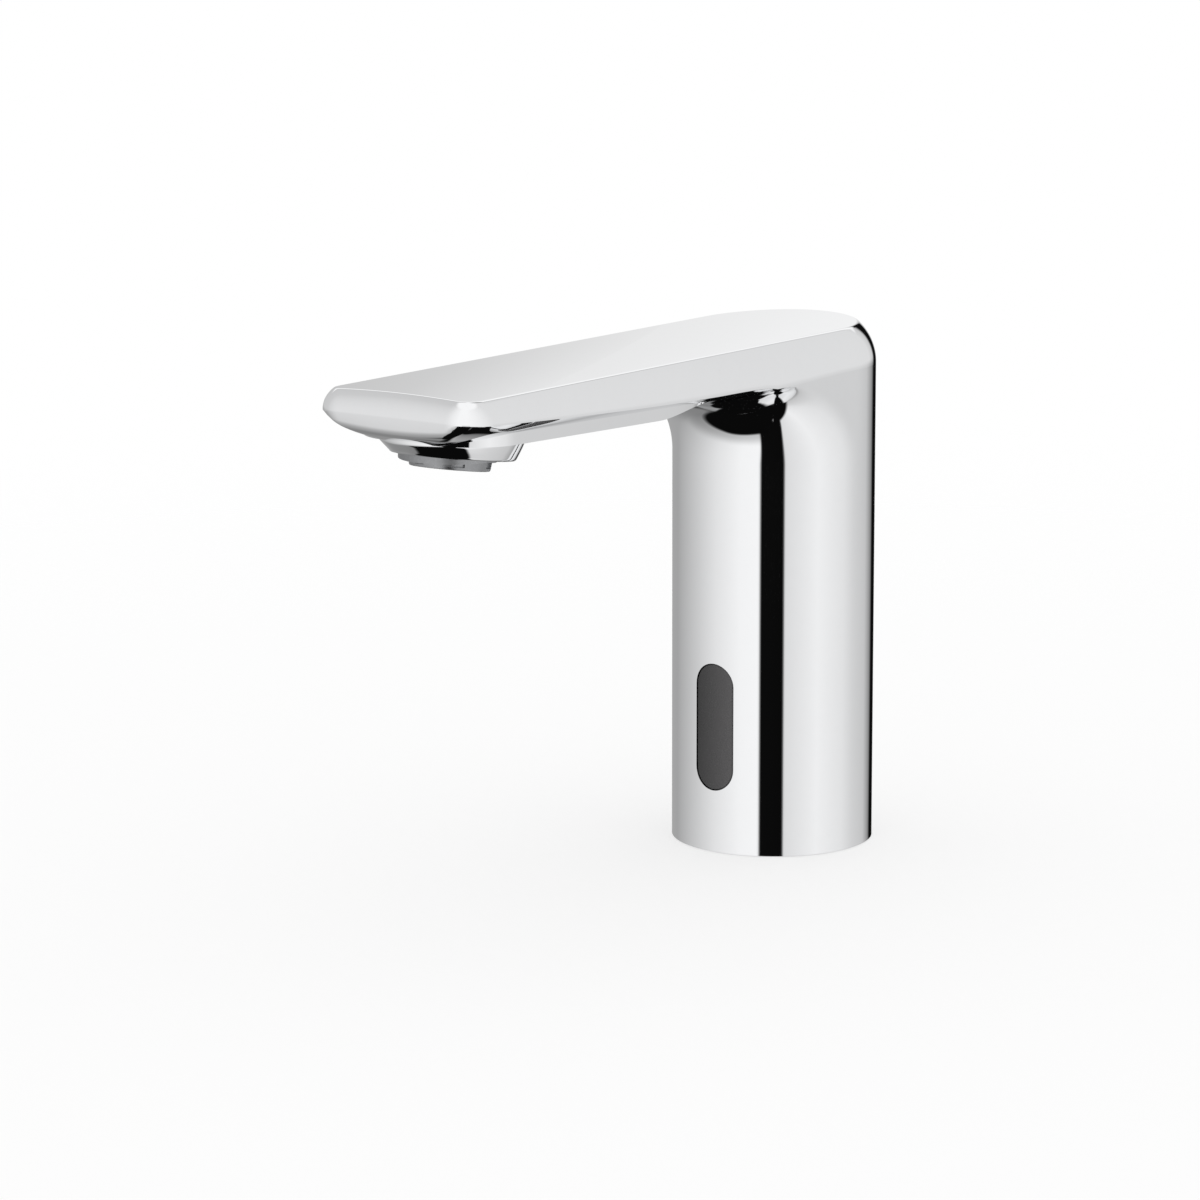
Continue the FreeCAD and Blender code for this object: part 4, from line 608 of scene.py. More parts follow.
    def half_row(self, step: float) -> list[Point]:
        """Right half of a ring of the flare, from the front's middle to the back's middle.

        Args:
            step: 0 at the foot of the flare, 1 at its widest ring.

        Returns:
            The points of the half ring.
        """
        phi = step * math.pi / 2
        radius = self.ring - self.flare * math.cos(phi)
        foot = self.belly_z(-self.ring) - self.flare
        base = foot + self.flare * math.sin(phi)
        fade = math.sin(phi) ** 2
        row: list[Point] = []
        for half in self.under_marks():
            angle = math.asin(half / self.ring)
            depth = -self.ring * math.cos(angle)
            if half >= self.column:
                target = self.edge_z(depth)
            else:
                target = self.belly_z(depth) + self.keel_rise(half, depth)
            z = base + fade * (target - self.belly_z(-self.ring))
            row.append((radius * math.sin(angle), -radius * math.cos(angle), z))
        rise = (base - foot) / self.flare
        side = foot + (self.edge_root - foot) * rise
        row += self.gusset(row[-1], math.cos(phi), side)
        for i in range(1, self.back_steps // 2 + 1):
            angle = math.pi * i / self.back_steps
            row.append((self.column * math.cos(angle), self.column * math.sin(angle), side))
        return row

    def gusset(self, start: Point, openness: float, side: float) -> list[Point]:
        """The curve from the flare's edge back to the column's side: an arc, then a straight run at the top.

        Args:
            start: where the curve starts.
            openness: 1 at the foot of the flare, 0 at its widest ring.
            side: its height where it meets the column's side.

        Returns:
            The points after the start, the one on the column's side included.
        """
        x, y, z = start
        gap = max(self.column - x, LEAST_GAP)
        bend = self.gusset_bend + (self.column - self.gusset_bend) * openness**self.gusset_power
        run = math.sqrt(max(2 * bend * gap - gap**2, 0.0))
        touch = min(0.0, y + run)
        run = touch - y
        bend = (gap**2 + run**2) / (2 * gap)
        whole = math.asin(min(1.0, run / bend)) if run else 0.0
        arc = bend * whole
        row = []
        for i in range(1, self.gusset_steps + 1):
            share = i / self.gusset_steps
            gone = share * (arc - touch)
            height = z + (side - z) * eased(share)
            if gone < arc:
                turn = whole * (1 - gone / arc)
                row.append((self.column - bend * (1 - math.cos(turn)), touch - bend * math.sin(turn), height))
            else:
                row.append((self.column, touch + gone - arc, height))
        return row

    def mirrored_row(self, half: list[Point]) -> list[int]:
        """Keep a right half row and its mirror image as one closed row.

        Args:
            half: points from the front's middle to the back's middle.

        Returns:
            The indices, from the front's middle round the right side.
        """
        right = [self.add(p) for p in half]
        left = [self.add((-p[0], p[1], p[2])) for p in reversed(half[1:-1])]
        return right + left

    def column_and_flare(self) -> list[int]:
        """Build the column, its bore and the flare.

        Returns:
            The flare's widest row.
        """
        foot = self.half_row(0.0)
        first = self.mirrored_row([(x, y, self.levels[0]) for x, y, _ in foot])
        outer = first
        for level in self.levels[1:]:
            row = self.mirrored_row([(x, y, level) for x, y, _ in foot])
            self.bridge(outer, row, True)
            outer = row
        for i in range(self.flare_steps + 1):
            row = self.mirrored_row(self.half_row(i / self.flare_steps))
            self.bridge(outer, row, True)
            outer = row
        share = self.bore / self.column
        inner = self.mirrored_row([(x * share, y * share, 0.0) for x, y, _ in foot])
        self.bridge(inner, first, True)
        top = self.mirrored_row([(x * share, y * share, self.bore_top) for x, y, _ in foot])
        self.bridge(top, inner, True)
        self.faces.append(tuple(top))
        return outer

    def rail(self, start: Point, half: float, reach: float, corner: float) -> list[tuple[float, float]]:
        """Plan path along one side to the tip: straight, round the corner, and to the tip's middle.

        Args:
            start: where the path starts.
            half: half width where the corner starts.
            reach: depth of the tip.
            corner: the corner's radius.

        Returns:
            The points after the start.
        """
        end = (half, -(reach - corner))
        path = []
        for i in range(1, self.side_steps + 1):
            share = i / self.side_steps
            path.append((start[0] + (end[0] - start[0]) * share, start[1] + (end[1] - start[1]) * share))
        for i in range(1, self.corner_steps + 1):
            turn = math.pi / 2 * i / self.corner_steps
            path.append((half - corner * (1 - math.cos(turn)), end[1] - corner * math.sin(turn)))
        for i in range(1, self.front_steps // 2 + 1):
            path.append(((half - corner) * (1 - 2 * i / self.front_steps), -reach))
        return path

    def rail_plan(self, share: float) -> tuple[float, float, float]:
        """Size a path between the belly's wall and the lip.

        Args:
            share: 0 at the wall, 1 at the lip.

        Returns:
            Its half width, reach and corner.
        """
        inner = self.tip_half - self.lip
        return (
            self.belly_half + (inner - self.belly_half) * share,
            self.belly_reach + (self.reach - self.lip - self.belly_reach) * share,
            self.belly_corner + (self.corner - self.belly_corner) * share,
        )

    def tip_share(self, station: int) -> float:
        """How far a station of the path has come round the corner, from 0 on the side to 1 on the tip."""
        return eased((station - self.side_steps) / self.corner_steps)

    def wall_rise(self, share: float, station: int, x: float, y: float) -> float:
        """Height above the belly's flat of a path between the belly's wall and the lip.

        Args:
            share: 0 at the wall, 1 at the lip, less than 0 at the flat's edge.
            station: the path's station.
            x: the point's place across.
            y: depth of the point.

        Returns:
            The height above the flat.
        """
        whole = self.edge_z(y) - self.belly_z(y)
        if share < 0:
            return 0.0
        hull = self.belly_drop + (whole - self.belly_drop) * share**self.hull_power
        length = self.reach - self.belly_reach + self.belly_draw
        near, far = self.lip / length, 1 - self.belly_draw / length
        inward = near + (far - near) * (1 - share)
        round_corner = min(1.0, abs(x) / self.tip_half) ** 2
        slope = self.prow_slope + (self.prow_corner_slope - self.prow_slope) * round_corner
        drop = slope * inward + (1 - slope) * (1 - math.exp(-inward / self.prow_roll))
        prow = whole * (1 - drop)
        tip = self.tip_share(station)
        return hull * (1 - tip) + prow * tip

    def underside(self, ring: list[int]) -> list[int]:
        """Build the belly, its wall, the hull and the lip, and give the facets' lower row.

        Args:
            ring: the flare's widest row.

        Returns:
            The closed row that the facets stand on.
        """
        marks = self.under_marks()
        flat = self.belly_steps
        last = len(marks) - 1
        rows: list[list[int]] = []
        for index in range(flat, last + 1):
            start = self.points[ring[index]]
            share = (index - flat - 1) / self.hull_steps
            if index == flat:
                draw = self.belly_draw
                plan = (self.belly_half - draw, self.belly_reach - draw, self.belly_corner)
            elif index == last:
                plan = (self.tip_half, self.reach, self.corner)
            else:
                plan = self.rail_plan(share)
            right = []
            for station, (x, y) in enumerate(self.rail(start, *plan), 1):
                if index == last:
                    z = self.edge_z(y)
                else:
                    formed = self.stepped(y)
                    rise = self.wall_rise(share, station, x, y) * formed + self.keel_rise(x, y) * (1 - formed)
                    z = self.belly_z(y) + rise
                right.append((x, y, z))
            here = [ring[index]] + [self.add(p) for p in right]
            there = [self.add((-x, y, z)) for x, y, z in reversed(right[:-1])] + [ring[-index]]
            rows.append(here + there)
        for low, high in zip(rows, rows[1:]):
            self.bridge(low, high, False)
        self.belly([ring[-i] for i in range(flat, 0, -1)] + ring[: flat + 1], rows[0])
        back = ring[last + 1 : len(ring) - last]
        return rows[-1] + list(reversed(back))

    def belly(self, arc: list[int], edge: list[int]) -> None:
        """Fill the belly's flat with rows from side to side.

        Args:
            arc: the flare's widest row under the spout, from the left to the right.
            edge: the flat's edge, from the right of the flare round the tip to the left.
        """
        bow = [self.points[i][1] - self.points[arc[0]][1] for i in arc]
        strip = arc
        stations = self.side_steps + self.corner_steps
        for station in range(1, stations + 1):
            right, left = edge[station], edge[-1 - station]
            half, y, z = self.points[right]
            if station == stations:
                row = [left] + [edge[i] for i in range(len(edge) - 2 - station, station, -1)] + [right]
            else:
                formed = self.stepped(y)
                kept = max(0.0, 1 - station / (self.side_steps * self.bow_share)) ** 2
                row = [left]
                for k in range(1, self.front_steps):
                    across = 2 * k / self.front_steps - 1
                    depth = y + bow[k] * kept
                    x = across * half
                    rise = self.keel_rise(abs(x), depth) * (1 - formed)
                    rise += (z - self.belly_z(y)) * formed * abs(across) ** self.rim_power
                    row.append(self.add((x, depth, self.belly_z(depth) + rise)))
                row.append(right)
            self.bridge(strip, row, False)
            strip = row

    # -- upper half

    def bulge(self, step: float) -> float:
        """Share of the facet's draft that is left at a share of its height."""
        whole = 1 - math.sqrt(1 - self.facet_sine**2)
        return 1 - (1 - math.sqrt(1 - (step * self.facet_sine) ** 2)) / whole

    def top_plan(self, row: list[int], inset: float = 0.0) -> list[tuple[float, float]]:
        """Where each point of the facets' lower row lies on the top edge's outline.

        Args:
            row: the facets' lower row, from the flare round the tip and back round the column.
            inset: how far inside the sharp edge the outline lies.

        Returns:
            One plan point for each.
        """
        plan = []
        centre = self.tip_half - self.corner
        inner = self.top_half - self.top_corner
        half, reach, corner = self.top_half - inset, self.top_reach - inset, self.top_corner - inset
        for index in row:
            x, y, _ = self.points[index]
            sign = 1.0 if x >= 0 else -1.0
            if y >= 0:
                length = math.hypot(x, y)
                plan.append((x / length * half, y / length * half))
            elif -y < self.side_end + LEAST_GAP:
                plan.append((sign * half, y / self.side_end * (self.top_reach - self.top_corner)))
            elif abs(x) > centre:
                turn = math.atan2(-y - self.side_end, abs(x) - centre)
                plan.append((sign * (inner + corner * math.cos(turn)), corner * (1 - math.sin(turn)) - reach))
            else:
                plan.append((x / centre * inner, -reach))
        return plan

    def top_z(self, x: float, y: float) -> float:
        """Height of the crowned top face over a plan point."""
        return self.top_edge + y * self.top_tilt + self.crown * (1 - min(1.0, abs(x) / self.top_half) ** 2)

    def facets(self, row: list[int]) -> list[int]:
        """Build the facets up to the top edge, and give its row.

        Args:
            row: the facets' lower row.

        Returns:
            The top edge's row.
        """
        plan = self.top_plan(row)
        starts = [self.points[i] for i in row]

        def level(step: float) -> list[Point]:
            """Find the facets' points at a share of their height.

            Args:
                step: 0 at the lower edge, 1 at the top edge.

            Returns:
                One point for each of the row's.
            """
            left = self.bulge(step)
            found = []
            for (x0, y0, z0), (x1, y1) in zip(starts, plan):
                z = z0 + (self.top_z(x1, y1) - z0) * step
                found.append((x1 + (x0 - x1) * left, y1 + (y0 - y1) * left, z))
            return found

        low = row
        for k in range(1, self.facet_steps + 1):
            high = [self.add(p) for p in level(k / self.facet_steps * self.round_start)]
            self.bridge(low, high, True)
            low = high
        first, sharp = level(self.round_start), level(1.0)
        flat = [(x, y, self.top_z(x, y)) for x, y in self.top_plan(row, self.round_inset)]
        for k in range(1, self.round_steps + 1):
            t = k / self.round_steps
            high = []
            for trio in zip(first, sharp, flat):
                bent = tuple((1 - t) ** 2 * u + 2 * t * (1 - t) * v + t * t * w for u, v, w in zip(*trio))
                high.append(self.add(bent))
            self.bridge(low, high, True)
            low = high
        return low

    def top_face(self, row: list[int]) -> None:
        """Fill the crowned top with strips from side to side.

        Args:
            row: the top edge's row, which starts at the flare's right corner.
        """
        count = len(row)
        tip = self.side_steps + self.corner_steps + self.front_steps // 2
        half = count // 2
        rights = [row[(tip - i) % count] for i in range(half + 1)]
        lefts = [row[(tip + i) % count] for i in range(half + 1)]
        corner_at = self.front_steps // 2
        strip = [lefts[i] for i in range(corner_at, 0, -1)] + rights[: corner_at + 1]
        for i in range(corner_at + 1, half):
            a, b = self.points[lefts[i]], self.points[rights[i]]
            row_across = [lefts[i]]
            for k in range(1, self.front_steps):
                x = a[0] + (b[0] - a[0]) * k / self.front_steps
                y = a[1] + (b[1] - a[1]) * k / self.front_steps
                row_across.append(self.add((x, y, self.top_z(x, y))))
            row_across.append(rights[i])
            self.bridge(strip, row_across, False)
            strip = row_across
        apex = rights[half]
        for k in range(self.front_steps):
            self.faces.append((strip[k], strip[k + 1], apex))

    def build(self) -> bpy.types.Object:
        """Make the whole casting as one closed piece.

        Returns:
            The casting, without its window slot.
        """
        ring = self.column_and_flare()
        self.top_face(self.facets(self.underside(ring)))
        piece = new_piece("casting_shell", self.points, self.faces)
        tidy_normals(piece)
        return piece


@dataclass
class WindowSlot:
    """The slot in the column's front."""

    width: float = 11.15
    height: float = 31.8
    middle: float = 31.3
    front: float = -30.0
    back: float = -15.0
    arc_steps: int = 20

    def outline(self, grow: float = 0.0) -> list[tuple[float, float]]:
        """Round the slot anticlockwise, from the right.

        Args:
            grow: how far outside the slot's edge the outline lies.

        Returns:
            The outline's points in X and Z.
        """
        half = self.width / 2 + grow
        arm = (self.height - self.width) / 2
        points = []
        for start, rise in ((0.0, arm), (math.pi, -arm)):
            for i in range(self.arc_steps + 1):
                turn = start + math.pi * i / self.arc_steps
                points.append((half * math.cos(turn), self.middle + rise + half * math.sin(turn)))
        return points

    def cutter(self) -> bpy.types.Object:
        """Make the bar that cuts the slot.

        Returns:
            The bar.
        """
        outline = self.outline()
        count = len(outline)
        points = [(x, self.front, z) for x, z in outline] + [(x, self.back, z) for x, z in outline]
        faces = [tuple(range(count)), tuple(range(2 * count - 1, count - 1, -1))]
        faces += [(i, i + count, (i + 1) % count + count, (i + 1) % count) for i in range(count)]
        piece = new_piece("slot_cutter", points, faces)
        tidy_normals(piece)
        return piece

    def cut(self, casting: bpy.types.Object) -> None:
        """Cut the slot through the casting's wall.

        Args:
            casting: the casting.
        """
        cutter = self.cutter()
        apply_modifier(casting, "BOOLEAN", operation="DIFFERENCE", object=cutter, solver="EXACT")
        bpy.data.objects.remove(cutter)


@dataclass
class OutletBoss:
    """The round boss under the tip: a bowl that widens upwards, with a rim that leans forward."""

    reach: float = 124.5
    steps: int = 128
    lean: float = math.tan(math.radians(7.8))
    lean_top: float = 116.0
    lean_full: float = 111.8
    section: tuple[tuple[float, float], ...] = (
        (12.3, 118.6), (12.3, 111.75), (12.45, 111.5), (12.8, 111.36), (13.5, 111.36), (13.85, 111.42),
        (14.1, 111.58), (14.3, 111.85), (14.5, 112.15), (14.8, 112.6), (15.15, 113.15), (15.5, 113.7),
        (15.85, 114.3), (16.2, 114.9), (16.5, 115.45), (16.75, 116.0), (16.9, 116.5), (16.9, 118.2),
    )

    def build(self) -> bpy.types.Object:
        """Turn the boss and lean its rim.

        Returns:
            The boss.
        """
        piece = spun("outlet_boss_shell", list(self.section), -self.reach, self.steps)
        for vertex in piece.data.vertices:
            share = (self.lean_top - vertex.co.z / MM) / (self.lean_top - self.lean_full)
            vertex.co.z -= min(1.0, max(0.0, share)) * self.lean * (vertex.co.y + self.reach * MM)
        smooth(piece, degrees=42)
        return piece


@dataclass
class OutletInsert:
    """The tilting insert: ball, flange and notched skirt, made upright and then leaned forward."""

    reach: float = 124.5
    centre_z: float = 116.8
    ball: float = 11.7
    lean: float = -8.5
    notches: int = 6
    first_notch: float = -39.6
    notch_width: float = 20.0
    notch_depth: float = 0.6
    notch_radius: float = 9.1
    notch_heights: tuple[float, float] = (-7.45, -5.97)
    ball_foot: float = 5.2
    ball_top: float = 4.4
    ball_steps: int = 8
    ball_gap: float = 0.01
    steps: int = 96
    skirt: tuple[tuple[float, float], ...] = (
        (7.4, -4.4), (7.4, -7.75), (7.5, -7.95), (7.75, -8.08), (8.85, -8.08), (9.05, -8.0), (9.15, -7.8),
        (9.22, -7.4), (9.29, -6.9), (9.36, -6.4), (9.44, -5.96), (10.3, -5.92), (10.42, -5.84), (10.45, -5.7),
        (10.5, -5.45), (10.45, -5.3),
    )

    def section(self) -> list[tuple[float, float]]:
        """Go round the section: skirt and flange, then the ball's side to its hidden top.

        Returns:
            Radius and height of each corner, from the ball's centre.
        """
        points = list(self.skirt)
        start, end = math.acos(self.ball_foot / self.ball), math.acos(self.ball_top / self.ball)
        for i in range(self.ball_steps + 1):
            turn = start + (end - start) * i / self.ball_steps
            points.append((self.ball * math.sin(turn) - self.ball_gap, -self.ball * math.cos(turn)))
        return points

    def build(self) -> bpy.types.Object:
        """Turn the insert, press its key notches in and lean it.

        Returns:
            The insert.
        """
        piece = spun("outlet_insert", self.section(), 0.0, self.steps)
        pitch = 360.0 / self.notches
        low, high = (z * MM for z in self.notch_heights)
        with editing(piece, whole=False):
            bpy.ops.mesh.select_mode(type="FACE")
            mesh = bmesh.from_edit_mesh(piece.data)
            for face in mesh.faces:
                x, y, z = face.calc_center_median()
                turn = (math.degrees(math.atan2(y, x)) - self.first_notch + pitch / 2) % pitch - pitch / 2
                on_skirt = math.hypot(x, y) > self.notch_radius * MM and low < z < high
                face.select_set(on_skirt and abs(turn) < self.notch_width / 2)
            bmesh.update_edit_mesh(piece.data)
            inward = {"value": -self.notch_depth * MM}
            bpy.ops.mesh.extrude_region_shrink_fatten(TRANSFORM_OT_shrink_fatten=inward)
        place = Matrix.Translation((0, -self.reach * MM, self.centre_z * MM))
        piece.data.transform(place @ Matrix.Rotation(math.radians(self.lean), 4, "X"))
        smooth(piece, degrees=32)
        return piece


@dataclass
class WindowLens:
    """The smoked lens: a slot-shaped plate that follows the column's front, with a rolled edge."""

    slot: WindowSlot = field(default_factory=WindowSlot)
    face_radius: float = 24.9
    gap: float = 0.12
    roll: float = 0.5
    depth: float = 2.0
    rings: int = 6
    across: int = 16

    def row(self, grow: float, sink: float) -> list[Point]:
        """A row round the lens, grown from the slot's outline and sunk behind the face."""
        radius = self.face_radius - sink
        return [(x, -math.sqrt(radius**2 - x**2), z) for x, z in self.slot.outline(grow)]

    def build(self) -> bpy.types.Object:
        """Make the lens from its back edge over the rolled edge to the middle.

        Returns:
            The lens.
        """
        rows = [self.row(-self.gap, self.depth)]
        for i in range(self.rings + 1):
            turn = math.pi / 2 * i / self.rings
            inset = self.gap + self.roll * (1 - math.cos(turn))
            rows.append(self.row(-inset, self.roll * (1 - math.sin(turn))))
        inner = self.slot.width / 2 - self.gap - self.roll
        for i in range(1, self.across):
            rows.append(self.row(-self.gap - self.roll - inner * i / self.across, 0.0))
        points = [p for row in rows for p in row]
        count = len(rows[0])
        faces = []
        for r in range(len(rows) - 1):
            for i in range(count):
                j = (i + 1) % count
                faces.append((r * count + i, r * count + j, (r + 1) * count + j, (r + 1) * count + i))
        faces.append(tuple(range(count)))
        last = (len(rows) - 1) * count
        half = count // 2
        for i in range(half - 1):
            faces.append((last + i, last + i + 1, last + count - 2 - i, last + count - 1 - i))
        piece = new_piece("window_lens", points, faces)
        tidy_normals(piece)
        smooth(piece, degrees=50)
        return piece


# ---------------------------------------------------------------- studio


@dataclass
class Studio:
    """Camera, floor and the surroundings that the chrome mirrors.

    Attributes:
        azimuth, pitch, roll: how the camera is turned, in degrees.
        focal_px: its focal length, in pixels of the image.
        distance: how far it stands from the target.
        aim: where the target lies in the image, in pixels.
        axis_px: where the lens's axis meets the image, in pixels.
        target: the point on the tap that it is placed by.
        image, sensor: the image's side in pixels, and the sensor's width.
        bands, upper_bands: screen level of the lower and upper walls at each angle from the camera.
        upper_start, zenith_start: heights where the upper walls and the bright ceiling begin.
        below_start, gloom_start, gloom: heights of the dark below and the gloom over it, and its strength.
        nadir_start, nadir_reach: how far the dark reaches right straight below.
        behind_start, behind_lift: how far the dark rises behind the tap.
        left_start: where the dark ends towards the right.
        card_start, card_height: where a white card stands behind the tap, and from what height.
        ink: the dark's colour.
        clip: the camera's clipping distances, in metres.
        floor_radius, floor_sides, floor_place, floor_fade: the floor's disc and its fading, in metres.
        floor_glow: how much of the floor is plain white to the camera.
    """

    azimuth: float = 37.306
    pitch: float = 10.9733
    roll: float = -0.0892
    focal_px: float = 4400.0
    distance: float = 1089.881
    aim: tuple[float, float] = (773.2717, 537.2518)
    axis_px: tuple[float, float] = (614.8425, 596.961)
    target: Point = (0.0, 0.0, 75.0)
    image: float = 1200.0
    sensor: float = 36.0
    bands: tuple[tuple[float, float], ...] = (
        (-180, 168), (-142, 166), (-114, 192), (-96, 208), (-70, 232), (-40, 250), (-18.5, 253),
        (-16.5, 12), (9.5, 10), (11.5, 225), (50, 246), (85, 232), (102, 215), (127, 200), (143, 140),
        (149, 12), (166, 12), (169, 120), (180, 168),
    )
    upper_bands: tuple[tuple[float, float], ...] = (
        (-180, 234), (-176.5, 202), (-165, 194), (-150, 202), (-110, 208), (-82, 226), (-60, 242),
        (-30, 254), (0, 254), (40, 246), (85, 233), (102, 228), (135, 226), (147, 205), (151, 14),
        (164, 14), (168, 205), (176, 248), (180, 236),
    )
    upper_start: tuple[float, float] = (-0.16, -0.03)
    zenith_start: tuple[float, float] = (0.86, 0.95)
    below_start: tuple[float, float] = (-0.83, -0.77)
    gloom_start: tuple[float, float] = (-0.79, -0.58)
    gloom: float = 0.4
    nadir_start: tuple[float, float] = (-1.0, -0.86)
    nadir_reach: float = 0.22
    behind_start: tuple[float, float] = (-0.95, -0.5)
    behind_lift: float = 0.3
    left_start: tuple[float, float] = (-0.07, 0.0)
    card_start: tuple[float, float] = (-0.72, -0.66)
    card_height: tuple[float, float] = (0.38, 0.45)
    ink: Colour = (0.003, 0.003, 0.003, 1.0)
    clip: tuple[float, float] = (0.01, 50.0)
    floor_radius: float = 0.9
    floor_sides: int = 96
    floor_place: Point = (0.0, -0.05, -0.0002)
    floor_fade: tuple[float, float] = (0.25, 0.75)
    floor_glow: float = 0.5

    def axes(self) -> tuple[Vector, Vector, Vector]:
        """Work out how the camera is turned.

        Returns:
            Its right, up and forward directions.
        """
        a, p, r = (math.radians(v) for v in (self.azimuth, self.pitch, self.roll))
        forward = Vector((-math.sin(a) * math.cos(p), math.cos(a) * math.cos(p), -math.sin(p)))
        right = Vector((math.cos(a), math.sin(a), 0))
        up = right.cross(forward)
        return right * math.cos(r) + up * math.sin(r), up * math.cos(r) - right * math.sin(r), forward

    def camera(self) -> None:
        """Place the camera where the photograph was taken from."""
        right, up, forward = self.axes()
        ray = (
            right * (self.aim[0] - self.axis_px[0]) / self.focal_px
            - up * (self.aim[1] - self.axis_px[1]) / self.focal_px
            + forward
        ).normalized()
        spot = (Vector(self.target) - ray * self.distance) * MM
        data = bpy.data.cameras.new("view")
        data.sensor_width = self.sensor
        data.lens = self.focal_px / self.image * self.sensor
        data.shift_x = -(self.axis_px[0] - self.image / 2) / self.image
        data.shift_y = (self.axis_px[1] - self.image / 2) / self.image
        data.clip_start, data.clip_end = self.clip
        camera = bpy.data.objects.new("view", data)
        bpy.context.scene.collection.objects.link(camera)
        camera.matrix_world = Matrix.Translation(spot) @ Matrix((right, up, -forward)).transposed().to_4x4()
        bpy.context.scene.camera = camera

    def world(self) -> None:
        """Surroundings: white to the camera and to matt surfaces, soft walls and dark gaps to the chrome."""
        world = bpy.data.worlds.new("studio")
        bpy.context.scene.world = world
        world.use_nodes = True
        world.node_tree.nodes.clear()
        wires = Wiring(world.node_tree)
        where = wires.add("ShaderNodeTexCoord").outputs["Generated"]
        turn = {"Rotation": (0, 0, -math.radians(self.azimuth)), "Vector": where}
        turned = wires.add("ShaderNodeMapping", turn, vector_type="VECTOR").outputs["Vector"]
        split = wires.add("ShaderNodeSeparateXYZ", {"Vector": turned}).outputs
        x, z = split["X"], split["Z"]
        near = wires.step("MULTIPLY", split["Y"], -1.0)
        share = wires.span(wires.step("ARCTAN2", x, near), (-math.pi, math.pi), RISE, Change.EVEN)
        walls, upper = wires.ramp(share, self.bands), wires.ramp(share, self.upper_bands)
        mirror = wires.blend(wires.span(z, self.upper_start, RISE), walls, upper)
        mirror = wires.blend(wires.span(z, self.zenith_start, RISE), mirror, WHITE)
        behind, high = wires.span(near, self.card_start, FALL), wires.span(z, self.card_height, RISE)
        mirror = wires.blend(wires.step("MULTIPLY", behind, high), mirror, WHITE)
        height = wires.step("SUBTRACT", z, wires.span(near, self.behind_start, (self.behind_lift, 0.0)))
        gloom = wires.span(height, self.gloom_start, (self.gloom, 0.0))
        below = wires.step("MAXIMUM", wires.span(height, self.below_start, FALL), gloom)
        across = wires.step("SUBTRACT", x, wires.span(z, self.nadir_start, (self.nadir_reach, 0.0)))
        dark = wires.step("MULTIPLY", below, wires.span(across, self.left_start, FALL))
        mirror = wires.blend(dark, mirror, self.ink)
        path = wires.add("ShaderNodeLightPath").outputs
        seen = wires.blend(path["Is Glossy Ray"], WHITE, mirror)
        glow = wires.add("ShaderNodeBackground", {"Color": seen}).outputs[0]
        wires.add("ShaderNodeOutputWorld", {"Surface": glow})

    def floor(self) -> None:
        """Pale round floor that takes the shadow and fades into the background."""
        deselect_all()
        bpy.ops.mesh.primitive_circle_add(
            vertices=self.floor_sides, radius=self.floor_radius, fill_type="NGON", location=self.floor_place
        )
        floor = bpy.context.object
        floor.name = "floor"
        made = bpy.data.materials.new("floor_white")
        made.use_nodes = True
        nodes = made.node_tree.nodes
        wires = Wiring(made.node_tree)
        matt = nodes["Principled BSDF"]
        wires.fill(matt, {"Base Color": (0.97, 0.97, 0.97, 1), "Roughness": 0.9, "Specular IOR Level": 0.0})
        where = wires.add("ShaderNodeTexCoord").outputs["Object"]
        far = wires.add("ShaderNodeVectorMath", {0: where}, operation="LENGTH").outputs["Value"]
        camera = wires.add("ShaderNodeLightPath").outputs["Is Camera Ray"]
        pale = wires.add("ShaderNodeEmission").outputs[0]
        clear = wires.add("ShaderNodeBsdfTransparent").outputs[0]
        glow = wires.step("MULTIPLY", camera, self.floor_glow)
        both = wires.add("ShaderNodeMixShader", {0: glow, 1: matt.outputs[0], 2: pale}).outputs[0]
        fade = wires.span(far, self.floor_fade, FALL)
        edge = wires.add("ShaderNodeMixShader", {0: fade, 1: clear, 2: both}).outputs[0]
        wires.fill(nodes["Material Output"], {"Surface": edge})
        floor.data.materials.append(made)
        floor.visible_glossy = False

    def build(self) -> None:
        """Make the whole studio."""
        self.camera()
        self.world()
        self.floor()
        bpy.context.scene.view_settings.view_transform = "Standard"


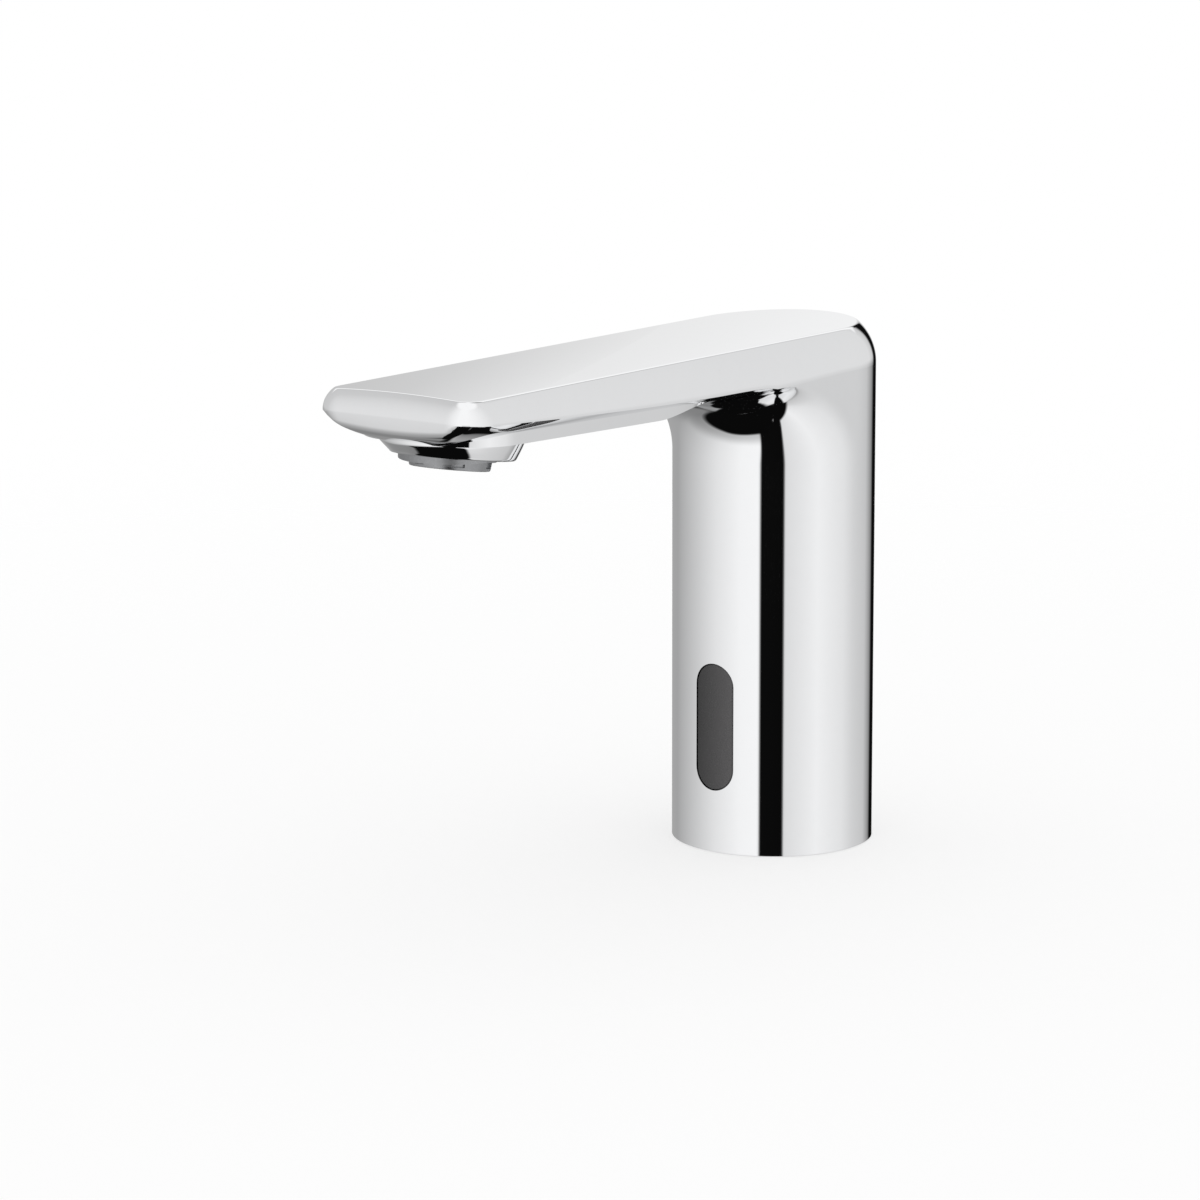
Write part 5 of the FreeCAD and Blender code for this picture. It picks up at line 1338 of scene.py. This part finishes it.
@dataclass
class Spring:
    """A wound spring, with its joint, its travel and the height of its fixed end. Sizes are in millimetres.
    """

    node: str
    joint: str
    travel: float
    fixed_z: float

    def build(self) -> bpy.types.Object:
        """Make a piece from a merged, smooth-shaded copy of the spring's wound form.

        Returns:
            The piece.
        """
        piece = bpy.data.objects.new(f"{self.node}_wound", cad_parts[self.node].data.copy())
        bpy.context.scene.collection.objects.link(piece)
        tidy_normals(piece)
        smooth(piece, degrees=40)
        return piece

    def shorten(self, piece: bpy.types.Object) -> None:
        """Give the piece its own copy of its mesh.

        Args:
            piece: the spring's piece, already on its body.
        """
        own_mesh(piece)


SPRINGS = (
    Spring("piston_spring", "piston_slide", 2.0, 41.45),
    Spring("plunger_spring", "plunger_slide", 1.0, 56.95),
    Spring("check_valve_spring", "poppet_slide", 1.4, 24.25),
)


# ---------------------------------------------------------------- assembly


def mount(piece: bpy.types.Object, body: Body, slot: str, finish: Finish, *nodes: str) -> None:
    """Dress a new piece and tie it to the frame.

    Args:
        piece: the piece.
        body: the body that it rides on.
        slot: the name of a material slot; it is not used.
        finish: its finish.
        nodes: the CAD nodes that it stands for.
    """
    dress(piece, finish)
    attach(piece, body.value)
    if nodes:
        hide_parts(*nodes)
    LOG.info("%s: %d faces", piece.name, len(piece.data.polygons))


def main() -> None:
    """Build the pieces in order and report each."""
    logging.basicConfig(level=logging.INFO, format="%(message)s")
    Studio().build()
    casting = Casting().build()
    WindowSlot().cut(casting)
    smooth(casting, degrees=24)
    mount(casting, Body.TAP, "chrome_body", CHROME, "body_casting")
    mount(OutletBoss().build(), Body.TAP, "chrome_body", CHROME)
    mount(OutletInsert().build(), Body.OUTLET, "chrome_outlet", SATIN_CHROME, "swivel_outlet")
    mount(WindowLens().build(), Body.TAP, "window_plastic", WINDOW, "sensor_window")
    for spring in SPRINGS:
        piece = spring.build()
        mount(piece, Body.TAP, "steel", STEEL, spring.node)
        spring.shorten(piece)
    for finish, nodes in NODE_FINISH.items():
        for node in nodes:
            dress(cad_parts[node], finish)
    deselect_all()


if __name__ == "__main__":
    main()
